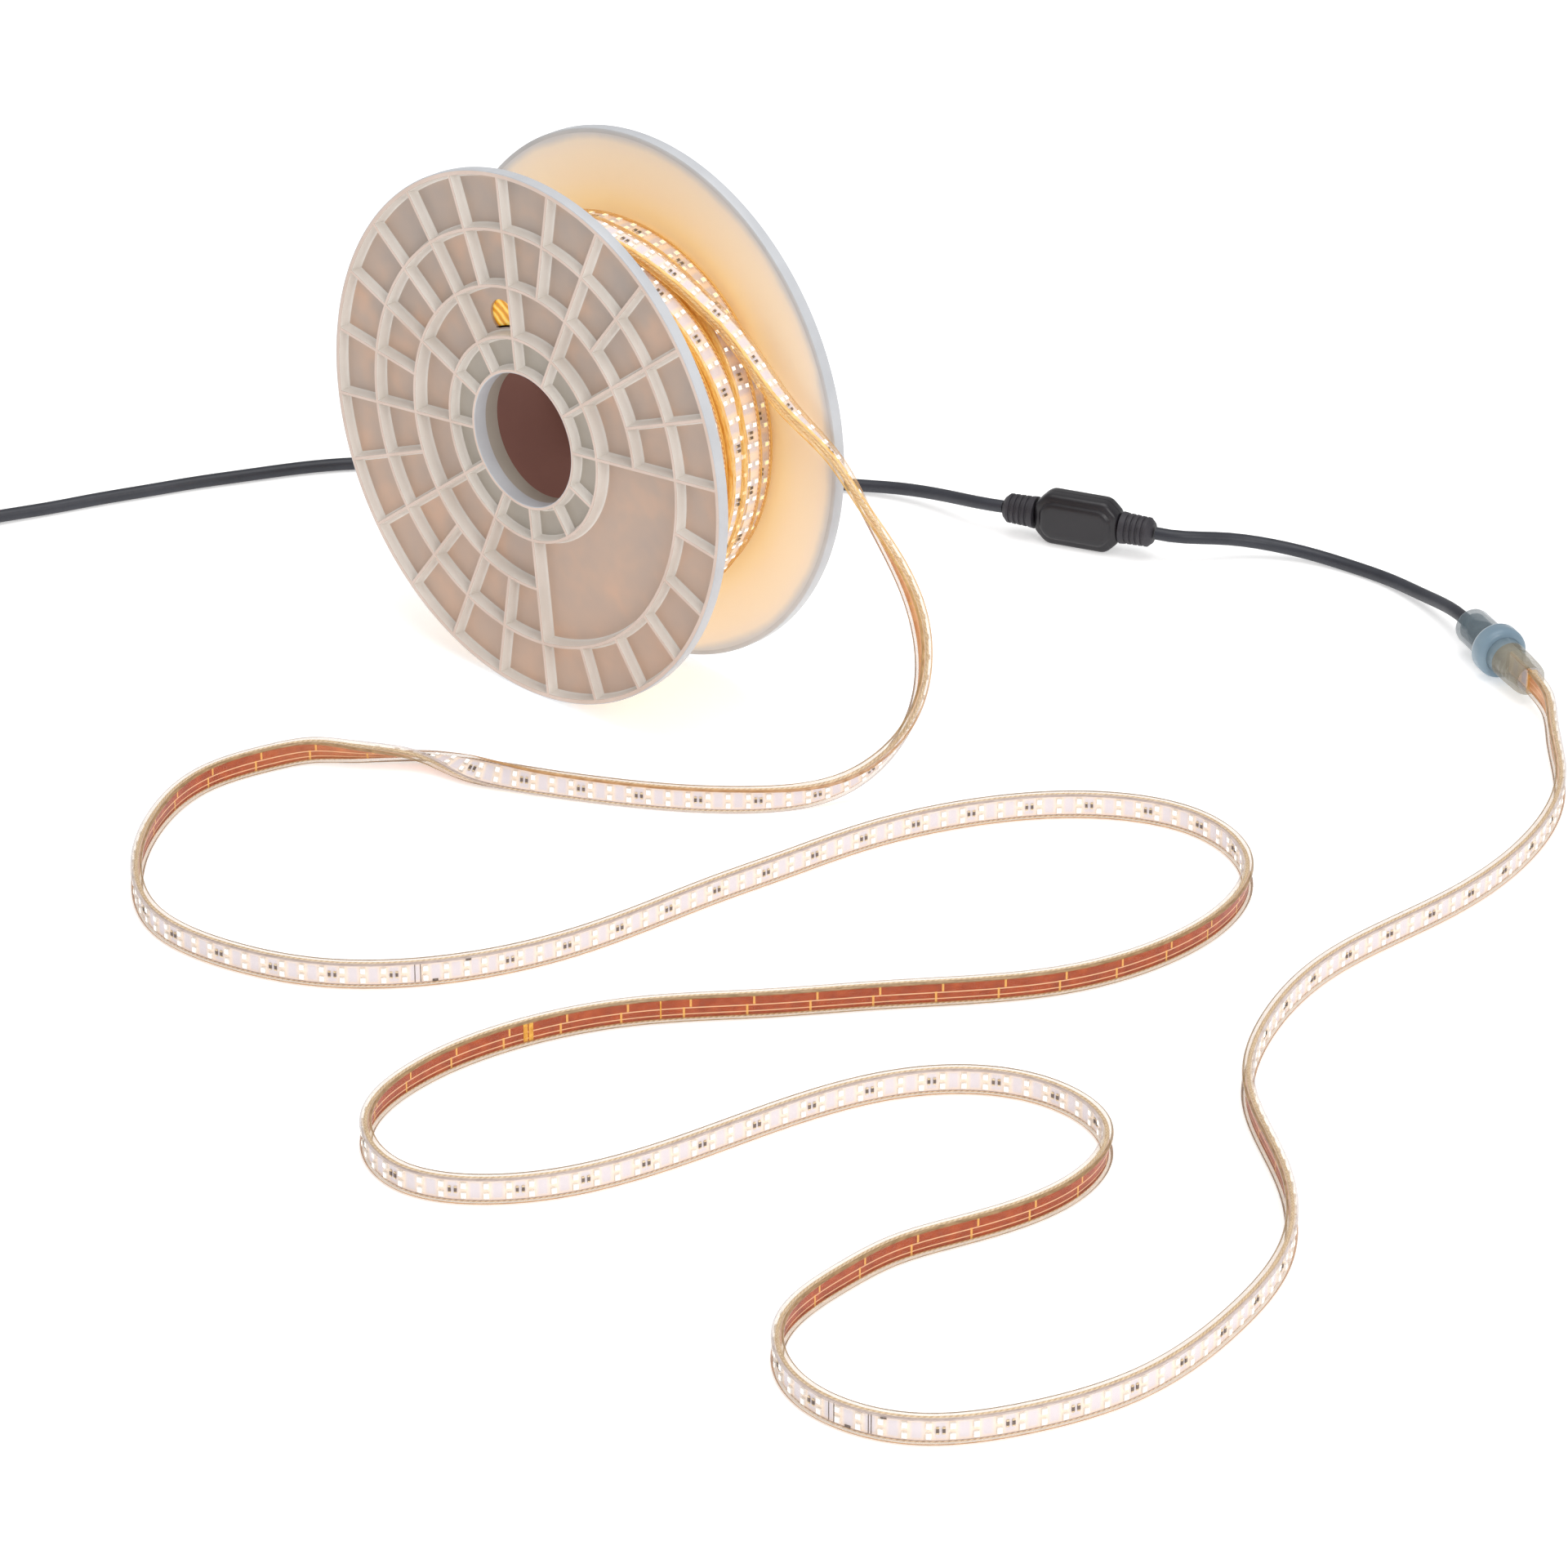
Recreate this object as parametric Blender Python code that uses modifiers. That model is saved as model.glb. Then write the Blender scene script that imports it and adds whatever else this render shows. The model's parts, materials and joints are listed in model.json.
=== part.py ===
"""LED rope light on an open two-flange reel, with its coupling, rectifier and mains lead.

Frame: X runs to the right along the front of the reel, Y is the reel's axis (the ribbed
front flange faces -Y) and Z is up.  The origin is on the floor under the middle of the reel.
All lengths below are in millimetres and are turned into metres by MM.
"""
import bpy
import bmesh
import math
import numpy as np
from mathutils import Matrix, Vector

MM = 0.001

# ---------------------------------------------------------------- driving dimensions (mm)
REEL_R = 158.0            # outer radius of both flanges
REEL_HALF = 49.6          # half of the overall width of the reel
RIM_IN = 155.2            # inner radius of the rim lip
RIM_T = 6.4               # straight part of the rim's edge
BORE_R = 39.6             # bore through the hub
COLLAR_R = 41.6           # outside of the collar around the bore
COLLAR_DEEP = 17.8        # how far the collar runs in from the front plane
RINGS = (60.6, 90.6, 123.7)   # centre radii of the three ring ribs
RIB_T = 1.6               # thickness of ring ribs and radial ribs
RIB_START = 6.3           # angle of the first radial rib, degrees from +X toward +Z
OUTER_CELLS = 24          # cells around in the two outer bands
INNER_CELLS = 12          # cells around in the two inner bands
PANEL_FROM, PANEL_TO = 276.3, 366.3   # the plain panel between ring 1 and ring 3
DEPTH_HUB, DEPTH_1, DEPTH_2, DEPTH_3, DEPTH_PANEL = 5.5, 7.9, 6.8, 5.8, 7.3
FACE_IN_O, FACE_OUT_O = 10.2, 7.3     # inner face of the flange at ring 1 and at the rim
SPIGOT = (54.2, 56.7, 14.0)           # spigot that centres the barrel: radii and reach
HUB_BACK = 7.8            # back of the hub band
PEEP_R = 9.5              # round hole in the web, where the winding shows
PEEP_AT = (-23.0, 67.3)   # its centre from the reel's axis (x, z)
BARREL = (57.0, 60.0)     # barrel's inner and outer radius
GAP = 0.3                 # play between neighbouring pieces
SEG = 72                  # segments of the big circles

WOUND = ((-39.0, 110.0), (-30.0, 114.0), (-15.0, 116.5), (0.0, 117.5), (15.0, 116.5),
         (25.0, 113.0), (33.0, 109.0), (39.0, 105.0))   # outer profile of the wound strip (y, r)

STRIP_W, STRIP_T = 15.0, 6.5          # rope light: width and thickness
STRIP_POINTS = 76                     # points on the strip's free run

CABLE_D = 7.8                         # round black cable
HOUSING_R, NUT_R, BOOT_R0, BOOT_R1 = 11.15, 15.5, 11.2, 10.2
COUPLING_AT = (382.4, 361.9, 15.6)    # centre of the nut's rear face
COUPLING_TURN = -25.98                # direction of the coupling's axis, toward the strip

RECT_AT = (47.9, 305.8, 16.7)         # outer end of the left boot
RECT_TURN = 21.2                      # direction of the rectifier's axis, toward the right
RECT_LEN = 96.2
RECT_CASE = (20.4, 75.8)              # case along that axis
RECT_H, RECT_T = 33.0, 20.0           # height and thickness of the case
RECT_CHAMFER = 8.5

COIL_C = (-456.0, -141.0)             # centre of the coiled mains lead
COIL_IN, COIL_OUT = 33.0, 49.0        # radii of the coil's body
COIL_Z0, COIL_H = 1.8, 15.8           # it rests on its tie

# Free run of the strip: x, y, z of the centre line and the roll of its light side,
# 0 = light side up, +90 = light side to the left of the way it runs, -90 = to the right.
STRIP_ROUTE = (
    (-10.7, -8.5, 279.8, 0), (4.3, -6.3, 280.2, 0), (19.1, -4.2, 278.8, 0), (33.7, -2, 275.6, 0), (47.8, 1.3, 270.6, 0),
    (61.2, 4.7, 263.9, 0), (73.7, 8.7, 255.8, 0), (83.6, 12.4, 247.7, 0), (97, 17, 236.7, 2), (137, 25, 196.6, 11),
    (167, 33, 171, 24), (185, 36, 148.9, 39), (223, 40, 95.7, 78), (239, 22, 44, 136), (230, -21, 12.8, 118),
    (201, -67, 7.8, 90), (133, -118, 7.8, 90), (83, -144, 8.3, 82), (59, -151, 7.5, 27), (33, -156, 6.7, -25),
    (15, -169, 7.8, -43), (-2, -184, 8.3, -62), (-19, -198, 8.2, -84), (-29, -218, 7.8, -90), (-36, -263, 7.8, -90),
    (-17, -315, 7.8, -90), (23, -363, 7.8, -90), (76, -392, 7.8, -90), (130, -389, 7.8, -90), (180, -367, 7.8, -90),
    (224, -318, 7.8, -90), (250, -250, 7.8, -90), (261, -156, 7.8, -90), (267, -114, 7.8, -90), (276, -55, 7.8, -90),
    (304, 17, 7.8, -90), (344, 64, 7.8, -90), (393, 84, 7.8, -90), (445, 67, 7.8, -90), (474, 22, 7.8, -90),
    (480, -39, 7.8, -90), (465, -96, 7.8, -90), (407, -178, 7.8, -90), (369, -228, 7.8, -90), (327, -281, 7.8, -90),
    (300, -343, 7.8, -90), (295, -409, 7.8, -90), (315, -459, 7.8, -90), (365, -480, 7.8, -90), (410, -452, 7.8, -90),
    (437, -399, 7.8, -90), (461, -282, 7.8, -90), (487, -225, 7.8, -90), (531, -195, 7.8, -90), (585, -204, 7.8, -90),
    (609, -250, 7.8, -90), (598, -322, 7.8, -90), (587, -360, 7.8, -90), (586, -392, 7.8, -90), (599, -451, 7.8, -90),
    (644, -482, 7.8, -90), (700, -470, 7.8, -90), (733, -426, 7.8, -90), (751, -368, 7.8, -90), (746, -293, 7.8, -90),
    (723.5, -227.5, 7.8, -90), (675.7, -173.3, 7.8, -90), (609, -122, 7.8, -90), (571, -62, 7.8, -90), (552, 9, 7.8, -90),
    (554, 108, 7.8, -90), (543, 190, 7.8, -90), (511, 259, 9.4, -90), (470, 304, 12.4, -90), (447, 328, 14.6, -90),
    (426.0, 340.9, 15.6, -90),
)

# Cable from the coupling to the rectifier's right boot.
LEAD_ROUTE = (
    (351.6, 376.9, 15.6), (342, 381.6, 15.2), (320, 392.4, 11.8), (296, 401.8, 7.4), (264, 409.5, 4.3),
    (234, 408.5, 4.0), (207, 402, 5.6), (186, 389.5, 8.8), (169, 372, 12.6), (155, 351.5, 15.8),
    (147, 344.4, 16.6), (138.9, 341.1, 16.7),
)

# Mains cable from the rectifier's left boot to the coil, and from the coil to the plug.
MAINS_ROUTE = (
    (46.8, 305.4, 16.7), (38, 302.2, 16.4), (14, 300.5, 13.4), (-10, 300, 9.8), (-33, 295.5, 7), (-55, 286, 5),
    (-110, 252, 4.0), (-200, 184, 4.0), (-270, 124, 4.0), (-306, 89.5, 4.0), (-326, 59, 4.0), (-340, 31, 4.0),
    (-354, 2, 4.0), (-366, -27, 4.0), (-378, -56, 4.0), (-389, -86, 4.0), (-400, -115, 4.6), (-404.4, -131.2, 5.4),
)
TAIL_ROUTE = ((-509.0, -142.5, 13.5), (-519.5, -126.7, 12.6), (-530.0, -111.0, 10.2), (-540.5, -95.2, 8.2), (-550.5, -80.2, 7.4))
PLUG_TURN = 123.6                     # direction of the plug's axis
PLUG_AT = (-550.7, -79.9, 7.4)        # where the cable enters it

# ---------------------------------------------------------------- scene
for ob in list(bpy.data.objects):
    bpy.data.objects.remove(ob, do_unlink=True)

PARTS = bpy.data.collections.new("led_rope_light")
CUTTERS = bpy.data.collections.new("cutters")
bpy.context.scene.collection.children.link(PARTS)
bpy.context.scene.collection.children.link(CUTTERS)
ROOT = bpy.data.objects.new("led_rope_light_origin", None)
PARTS.objects.link(ROOT)


def material(name, colour, rough, metal=0.0, alpha=1.0):
    mat = bpy.data.materials.new(name)
    mat.use_nodes = True
    bsdf = mat.node_tree.nodes["Principled BSDF"]
    bsdf.inputs["Base Color"].default_value = (*colour, 1.0)
    bsdf.inputs["Roughness"].default_value = rough
    bsdf.inputs["Metallic"].default_value = metal
    bsdf.inputs["Alpha"].default_value = alpha
    return mat


def place(ob, mat=None, cutter=False):
    (CUTTERS if cutter else PARTS).objects.link(ob)
    if cutter:
        ob.hide_render = True
        ob.display_type = 'WIRE'
    else:
        ob.parent = ROOT
        if mat is not None:
            ob.data.materials.append(mat)
    return ob


def turned(name, profile, mat=None, location=(0, 0, 0), rotation=(0, 0, 0), seg=SEG, cutter=False):
    """Turn a profile of (radius, height) about local Z.  It runs down the outer side."""
    mesh = bpy.data.meshes.new(name)
    verts = [(r * MM, 0.0, z * MM) for r, z in profile]
    edges = [(i, i + 1) for i in range(len(verts) - 1)]
    if profile[0][0] > 0.0:
        edges.append((len(verts) - 1, 0))
    mesh.from_pydata(verts, edges, [])
    ob = place(bpy.data.objects.new(name, mesh), mat, cutter)
    ob.location = Vector(location) * MM
    ob.rotation_euler = rotation
    screw = ob.modifiers.new("Screw", 'SCREW')
    screw.axis = 'Z'
    screw.angle = 2 * math.pi
    screw.steps = seg
    screw.render_steps = seg
    screw.use_merge_vertices = True
    screw.merge_threshold = 0.00001
    screw.use_smooth_shade = True
    return ob


def baked(ob):
    """The object's evaluated mesh, with doubles welded."""
    bpy.context.view_layer.update()
    deps = bpy.context.evaluated_depsgraph_get()
    mesh = bpy.data.meshes.new_from_object(ob.evaluated_get(deps))
    bm = bmesh.new()
    bm.from_mesh(mesh)
    bmesh.ops.remove_doubles(bm, verts=bm.verts, dist=0.000005)
    bm.to_mesh(mesh)
    bm.free()
    return mesh


def outline_solid(name, loops, thickness, matrix, mat=None, cutter=False, bevel=0.0):
    """Flat outlines, each a list of (x, y), extruded to a thickness about their plane."""
    curve = bpy.data.curves.new(name + "_outline", 'CURVE')
    curve.dimensions = '2D'
    curve.fill_mode = 'BOTH'
    curve.extrude = thickness * MM / 2
    curve.resolution_u = 1
    curve.render_resolution_u = 0
    for loop in loops:
        sp = curve.splines.new('POLY')
        sp.points.add(len(loop) - 1)
        for p, (x, y) in zip(sp.points, loop):
            p.co = (x * MM, y * MM, 0.0, 1.0)
        sp.use_cyclic_u = True
    tmp = bpy.data.objects.new(name + "_outline", curve)
    CUTTERS.objects.link(tmp)
    tmp.matrix_world = matrix
    mesh = baked(tmp)
    mesh.name = name
    ob = place(bpy.data.objects.new(name, mesh), mat, cutter)
    ob.matrix_world = matrix
    bpy.data.objects.remove(tmp, do_unlink=True)
    if bevel:
        bev = ob.modifiers.new("Bevel", 'BEVEL')
        bev.width = bevel * MM
        bev.segments = 2
        bev.limit_method = 'ANGLE'
        bev.angle_limit = math.radians(50)
    return ob


def cut(ob, cutter):
    mod = ob.modifiers.new("Cut", 'BOOLEAN')
    mod.operation = 'DIFFERENCE'
    mod.solver = 'EXACT'
    mod.object = cutter


def smooth_curve(points):
    """Natural cubic through the points, by chord length: returns a function of length."""
    pts = np.array(points, dtype=float)
    s = np.concatenate(([0.0], np.cumsum(np.linalg.norm(np.diff(pts[:, :3], axis=0), axis=1))))
    h = np.diff(s)
    n = len(s)
    a = np.zeros((n, n))
    b = np.zeros((n, pts.shape[1]))
    a[0, 0] = a[-1, -1] = 1.0
    for i in range(1, n - 1):
        a[i, i - 1], a[i, i], a[i, i + 1] = h[i - 1], 2 * (h[i - 1] + h[i]), h[i]
        b[i] = 6 * ((pts[i + 1] - pts[i]) / h[i] - (pts[i] - pts[i - 1]) / h[i - 1])
    m = np.linalg.solve(a, b)

    def at(t):
        t = np.atleast_1d(t)
        i = np.clip(np.searchsorted(s, t) - 1, 0, n - 2)
        u, v, hh = (s[i + 1] - t)[:, None], (t - s[i])[:, None], h[i][:, None]
        out = (m[i] * u ** 3 + m[i + 1] * v ** 3) / (6 * hh) + (pts[i] / hh - m[i] * hh / 6) * u \
            + (pts[i + 1] / hh - m[i + 1] * hh / 6) * v
        if pts.shape[1] > 3:
            out[:, 3] = np.interp(t, s, pts[:, 3])     # the roll turns evenly between points
        return out
    return at, s[-1]


def sampled(points, count, bend_weight=28.0):
    """Points along the smooth curve, closer together where it bends."""
    at, total = smooth_curve(points)
    t = np.linspace(0.0, total, 4001)
    p = at(t)[:, :3]
    step = np.linalg.norm(np.diff(p, axis=0), axis=1)
    tang = np.diff(p, axis=0) / step[:, None]
    turn = np.concatenate(([0.0], np.linalg.norm(np.diff(tang, axis=0), axis=1)))
    on_coil = np.hypot(p[1:, 0], p[1:, 2] - REEL_R) < 128.0     # closest on the winding
    measure = np.concatenate(([0.0], np.cumsum(step * (1 + 2.2 * on_coil) + bend_weight * turn)))
    picks = np.interp(np.linspace(0.0, measure[-1], count), measure, t)
    return at(picks)


def path_curve(name, pts, tilts=None):
    curve = bpy.data.curves.new(name, 'CURVE')
    curve.dimensions = '3D'
    curve.fill_mode = 'FULL'
    curve.resolution_u = 1
    curve.render_resolution_u = 0
    curve.use_fill_caps = True
    curve.twist_mode = 'Z_UP'
    sp = curve.splines.new('POLY')
    sp.points.add(len(pts) - 1)
    for i, p in enumerate(pts):
        sp.points[i].co = (p[0] * MM, p[1] * MM, p[2] * MM, 1.0)
        if tilts is not None:
            sp.points[i].tilt = math.radians(tilts[i])
    return curve


def cable(name, pts, mat):
    curve = path_curve(name, pts)
    curve.bevel_depth = CABLE_D * MM / 2
    curve.bevel_resolution = 2
    return place(bpy.data.objects.new(name, curve), mat)


def along(at, turn, s=0.0, side=0.0, up=0.0):
    """A matrix at a place along a level axis: local X along it, local Z up."""
    m = Matrix.Translation(Vector(at) * MM) @ Matrix.Rotation(math.radians(turn), 4, 'Z')
    return m @ Matrix.Translation(Vector((s, side, up)) * MM)


def on_axis(ob, at, turn, s=0.0):
    """Lay a turned piece on a level axis, its local Z along it."""
    ob.matrix_world = along(at, turn, s) @ Matrix.Rotation(math.radians(90), 4, 'Y')
    return ob


def box(name, size, matrix, mat, bevel=0.0):
    mesh = bpy.data.meshes.new(name)
    bm = bmesh.new()
    bmesh.ops.create_cube(bm, size=1.0)
    bmesh.ops.scale(bm, vec=Vector(size) * MM, verts=bm.verts)
    bm.to_mesh(mesh)
    bm.free()
    ob = place(bpy.data.objects.new(name, mesh), mat)
    ob.matrix_world = matrix
    if bevel:
        bev = ob.modifiers.new("Bevel", 'BEVEL')
        bev.width = bevel * MM
        bev.segments = 1
    return ob


# ---------------------------------------------------------------- materials
M_FLANGE = material("ribbed_reel_plastic", (0.62, 0.60, 0.57), 0.42)
M_FLANGE2 = material("rear_reel_plastic", (0.62, 0.60, 0.57), 0.42)
M_BARREL = material("barrel_plastic", (0.55, 0.54, 0.52), 0.45)
M_WOUND = material("wound_rope_light", (0.86, 0.62, 0.33), 0.25)
M_STRIP = material("rope_light_pvc", (0.88, 0.72, 0.48), 0.22)
M_BOOT = material("clear_boot_pvc", (0.72, 0.68, 0.55), 0.25)
M_SOCKET = material("socket_block_plastic", (0.50, 0.60, 0.66), 0.4)
M_NUT = material("translucent_nut_plastic", (0.45, 0.56, 0.63), 0.3)
M_HOUSING = material("clear_housing_plastic", (0.50, 0.55, 0.58), 0.25)
M_CARRIER = material("contact_carrier_plastic", (0.12, 0.12, 0.13), 0.5)
M_PIN = material("contact_pin_metal", (0.80, 0.66, 0.36), 0.3, 1.0)
M_PIN2 = material("contact_pin_metal_second", (0.80, 0.66, 0.36), 0.3, 1.0)
M_WASHER = material("washer_rubber", (0.75, 0.74, 0.70), 0.6)
M_LEAD = material("black_lead_pvc", (0.035, 0.035, 0.042), 0.45)
M_CASE = material("rectifier_case_plastic", (0.055, 0.045, 0.045), 0.5)
M_CASE2 = material("rectifier_case_plastic_back", (0.055, 0.045, 0.045), 0.5)
M_RELIEF = material("strain_relief_plastic", (0.05, 0.045, 0.045), 0.55)
M_RELIEF2 = material("strain_relief_plastic_left", (0.05, 0.045, 0.045), 0.55)
M_BOARD = material("circuit_board", (0.10, 0.28, 0.14), 0.5)
M_BRIDGE = material("bridge_rectifier_body", (0.04, 0.04, 0.04), 0.5)
M_MAINS = material("black_mains_pvc", (0.035, 0.035, 0.042), 0.45)
M_COIL = material("coiled_mains_pvc", (0.035, 0.035, 0.042), 0.45)
M_TAIL = material("mains_tail_pvc", (0.035, 0.035, 0.042), 0.45)
M_TIE = material("coil_tie_plastic", (0.03, 0.03, 0.03), 0.5)
M_PLUG = material("plug_plastic", (0.03, 0.03, 0.034), 0.45)
M_PRONG = material("plug_pin_metal", (0.75, 0.76, 0.78), 0.25, 1.0)
M_PRONG2 = material("plug_pin_metal_second", (0.75, 0.76, 0.78), 0.25, 1.0)

# ---------------------------------------------------------------- reel
FRONT_TURN = (math.radians(90), 0.0, 0.0)
REAR_TURN = (math.radians(90), 0.0, math.radians(180))
AXLE = (0.0, 0.0, REEL_R)

flange_profile = [
    (REEL_R, 0.0), (REEL_R, -RIM_T), (REEL_R - 0.9, -FACE_OUT_O), (RINGS[0] + 0.4, -FACE_IN_O),
    (SPIGOT[1], -FACE_IN_O), (SPIGOT[1], -SPIGOT[2]), (SPIGOT[0], -SPIGOT[2]), (SPIGOT[0], -HUB_BACK),
    (COLLAR_R, -HUB_BACK), (COLLAR_R, -COLLAR_DEEP), (BORE_R, -COLLAR_DEEP), (BORE_R, 0.0),
]
front = turned("front_flange", flange_profile, M_FLANGE,
               location=(0.0, -REEL_HALF, REEL_R), rotation=FRONT_TURN)


def cell(r0, r1, a0, a1, steps):
    """One pocket: a piece of a ring between two radial ribs of even thickness."""
    half = RIB_T / 2
    loop = []
    for r, order in ((r1, 1), (r0, -1)):
        d = math.degrees(math.asin(half / r))
        angles = [a0 + d + (a1 - a0 - 2 * d) * k / steps for k in range(steps + 1)]
        loop += [(r * math.cos(math.radians(x)), r * math.sin(math.radians(x))) for x in angles[::order]]
    return loop


def in_panel(a):
    return PANEL_FROM - 0.1 <= a < PANEL_TO - 0.1


wide = 360.0 / INNER_CELLS
narrow = 360.0 / OUTER_CELLS
wide_from = [RIB_START + wide * k for k in range(INNER_CELLS)]
narrow_from = [RIB_START + narrow * k for k in range(OUTER_CELLS)]
half = RIB_T / 2
bands = (
    ("cut_hub", [cell(41.4, RINGS[0] - half, a, a + wide, 4) for a in wide_from], DEPTH_HUB),
    ("cut_band_1", [cell(RINGS[0] + half, RINGS[1] - half, a, a + wide, 4)
                    for a in wide_from if not in_panel(a)], DEPTH_1),
    ("cut_band_2", [cell(RINGS[1] + half, RINGS[2] - half, a, a + narrow, 3)
                    for a in narrow_from if not in_panel(a)], DEPTH_2),
    ("cut_band_3", [cell(RINGS[2] + half, RIM_IN, a, a + narrow, 3) for a in narrow_from], DEPTH_3),
    ("cut_panel", [cell(RINGS[0] + half, RINGS[2] - half, PANEL_FROM, PANEL_TO, 18)], DEPTH_PANEL),
)
face = Matrix.Translation(Vector((0.0, -REEL_HALF, REEL_R)) * MM) @ Matrix.Rotation(math.radians(90), 4, 'X')
LIP = 2.0
for name, loops, deep in bands:
    tool = outline_solid(name, loops, deep + LIP,
                         face @ Matrix.Translation((0, 0, (LIP - deep) / 2 * MM)), cutter=True)
    cut(front, tool)
peep = turned("cut_peep_hole", [(0.0, 4.0), (PEEP_R, 4.0), (PEEP_R, -16.0), (0.0, -16.0)],
              location=(PEEP_AT[0], -REEL_HALF, REEL_R + PEEP_AT[1]), rotation=FRONT_TURN, seg=24, cutter=True)
cut(front, peep)

flange_mesh = baked(front)
flange_mesh.name = "flange"
front.modifiers.clear()
front.data = flange_mesh
flange_mesh.shade_smooth()
flange_mesh.set_sharp_from_angle(angle=math.radians(25))
rear_mesh = flange_mesh.copy()
rear_mesh.materials.clear()
rear_mesh.materials.append(M_FLANGE2)
rear = bpy.data.objects.new("rear_flange", rear_mesh)
place(rear)
rear.location = (0.0, REEL_HALF * MM, REEL_R * MM)
rear.rotation_euler = REAR_TURN

BARREL_HALF = REEL_HALF - FACE_IN_O - GAP
turned("reel_barrel", [(BARREL[1], BARREL_HALF), (BARREL[1], -BARREL_HALF),
                       (BARREL[0], -BARREL_HALF), (BARREL[0], BARREL_HALF)],
       M_BARREL, location=AXLE, rotation=FRONT_TURN, seg=60)

wound = [(r, -y) for y, r in WOUND]
turned("wound_strip", wound + [(BARREL[1] + GAP, wound[-1][1]), (BARREL[1] + GAP, wound[0][1])],
       M_WOUND, location=AXLE, rotation=FRONT_TURN, seg=60)

# ---------------------------------------------------------------- rope light, free run
hw, ht, c = STRIP_W / 2, STRIP_T / 2, 1.5
section = bpy.data.curves.new("strip_section", 'CURVE')
section.dimensions = '2D'
section.resolution_u = 1
section.render_resolution_u = 0
sp = section.splines.new('POLY')
outline = [(hw, ht - c), (hw - c, ht), (-hw + c, ht), (-hw, ht - c),
           (-hw, -ht + c), (-hw + c, -ht), (hw - c, -ht), (hw, -ht + c)]
sp.points.add(len(outline) - 1)
for p, (x, y) in zip(sp.points, reversed(outline)):
    p.co = (x * MM, y * MM, 0.0, 1.0)
sp.use_cyclic_u = True
section_ob = place(bpy.data.objects.new("strip_section", section), cutter=True)

route = sampled(STRIP_ROUTE, STRIP_POINTS)
# the rise from the reel and the run on the floor are two solids, divided in the middle of a straight step
k = next(i for i in range(10, len(route)) if route[i][2] < 9.0)
mid, step_dir = (route[k] + route[k + 1]) / 2, route[k + 1][:3] - route[k][:3]
half_gap = np.append(step_dir / np.linalg.norm(step_dir) * GAP / 2, 0.0)
for name, part_route, mat in (("light_strip_rise", np.vstack((route[:k + 1], mid - half_gap)), M_STRIP),
                              ("light_strip", np.vstack((mid + half_gap, route[k + 1:])), M_STRIP)):
    strip_curve = path_curve(name, part_route, tilts=-part_route[:, 3])
    strip_curve.bevel_mode = 'OBJECT'
    strip_curve.bevel_object = section_ob
    place(bpy.data.objects.new(name, strip_curve), mat)

# ---------------------------------------------------------------- coupling
CA, CT = COUPLING_AT, COUPLING_TURN
on_axis(turned("strip_boot", [(9.0, 46.2), (BOOT_R1, 45.0), (BOOT_R0, 14.0), (BOOT_R0, 7.1), (8.6, 7.1), (8.6, 31.0), (3.0, 31.0),
                              (3.0, 46.2)],
               M_BOOT, seg=32), CA, CT)
on_axis(turned("socket_block", [(0.0, 20.6), (8.3, 20.6), (8.3, 7.3), (5.2, 7.3), (5.2, 18.0), (0.0, 18.0)],
               M_SOCKET, seg=24), CA, CT)
on_axis(turned("coupling_nut", [(13.6, 11.7), (15.0, 10.9), (NUT_R, 9.4), (NUT_R, 1.2), (14.8, 0.0), (11.5, 0.0), (11.5, 11.7)],
               M_NUT, seg=36), CA, CT)
on_axis(turned("cable_side_housing", [(HOUSING_R, 5.0), (HOUSING_R, -30.4), (9.6, -33.0), (3.2, -33.0), (3.2, -29.0),
                                      (8.6, -29.0), (8.6, 5.0)],
               M_HOUSING, seg=32), CA, CT)
on_axis(turned("contact_carrier", [(0.0, 4.4), (7.9, 4.4), (8.3, 3.8), (8.3, -24.0), (5.0, -28.5), (0.0, -28.5)],
               M_CARRIER, seg=24), CA, CT)
on_axis(turned("sealing_washer", [(10.9, 6.8), (10.9, 5.3), (8.9, 5.3), (8.9, 6.8)], M_WASHER, seg=24), CA, CT)
for name, side, mat in (("contact_pin_1", 2.6, M_PIN), ("contact_pin_2", -2.6, M_PIN2)):
    pin = turned(name, [(0.0, 16.0), (0.7, 16.0), (1.0, 15.2), (1.0, 4.8), (0.0, 4.8)], mat, seg=12)
    pin.matrix_world = along(CA, CT, side=side) @ Matrix.Rotation(math.radians(90), 4, 'Y')

# ---------------------------------------------------------------- lead and rectifier
cable("lead_cable", sampled(LEAD_ROUTE, 12, 20.0), M_LEAD)

case_len = RECT_CASE[1] - RECT_CASE[0] - 2 * GAP
cx = (RECT_CASE[0] + RECT_CASE[1]) / 2
hx, hz, ch = case_len / 2, RECT_H / 2, RECT_CHAMFER
octagon = [(hx, -hz + ch), (hx, hz - ch), (hx - ch, hz), (-hx + ch, hz),
           (-hx, hz - ch), (-hx, -hz + ch), (-hx + ch, -hz), (hx - ch, -hz)]
RA, RT = RECT_AT, RECT_TURN
half_t = RECT_T / 2 - GAP / 2


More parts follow.
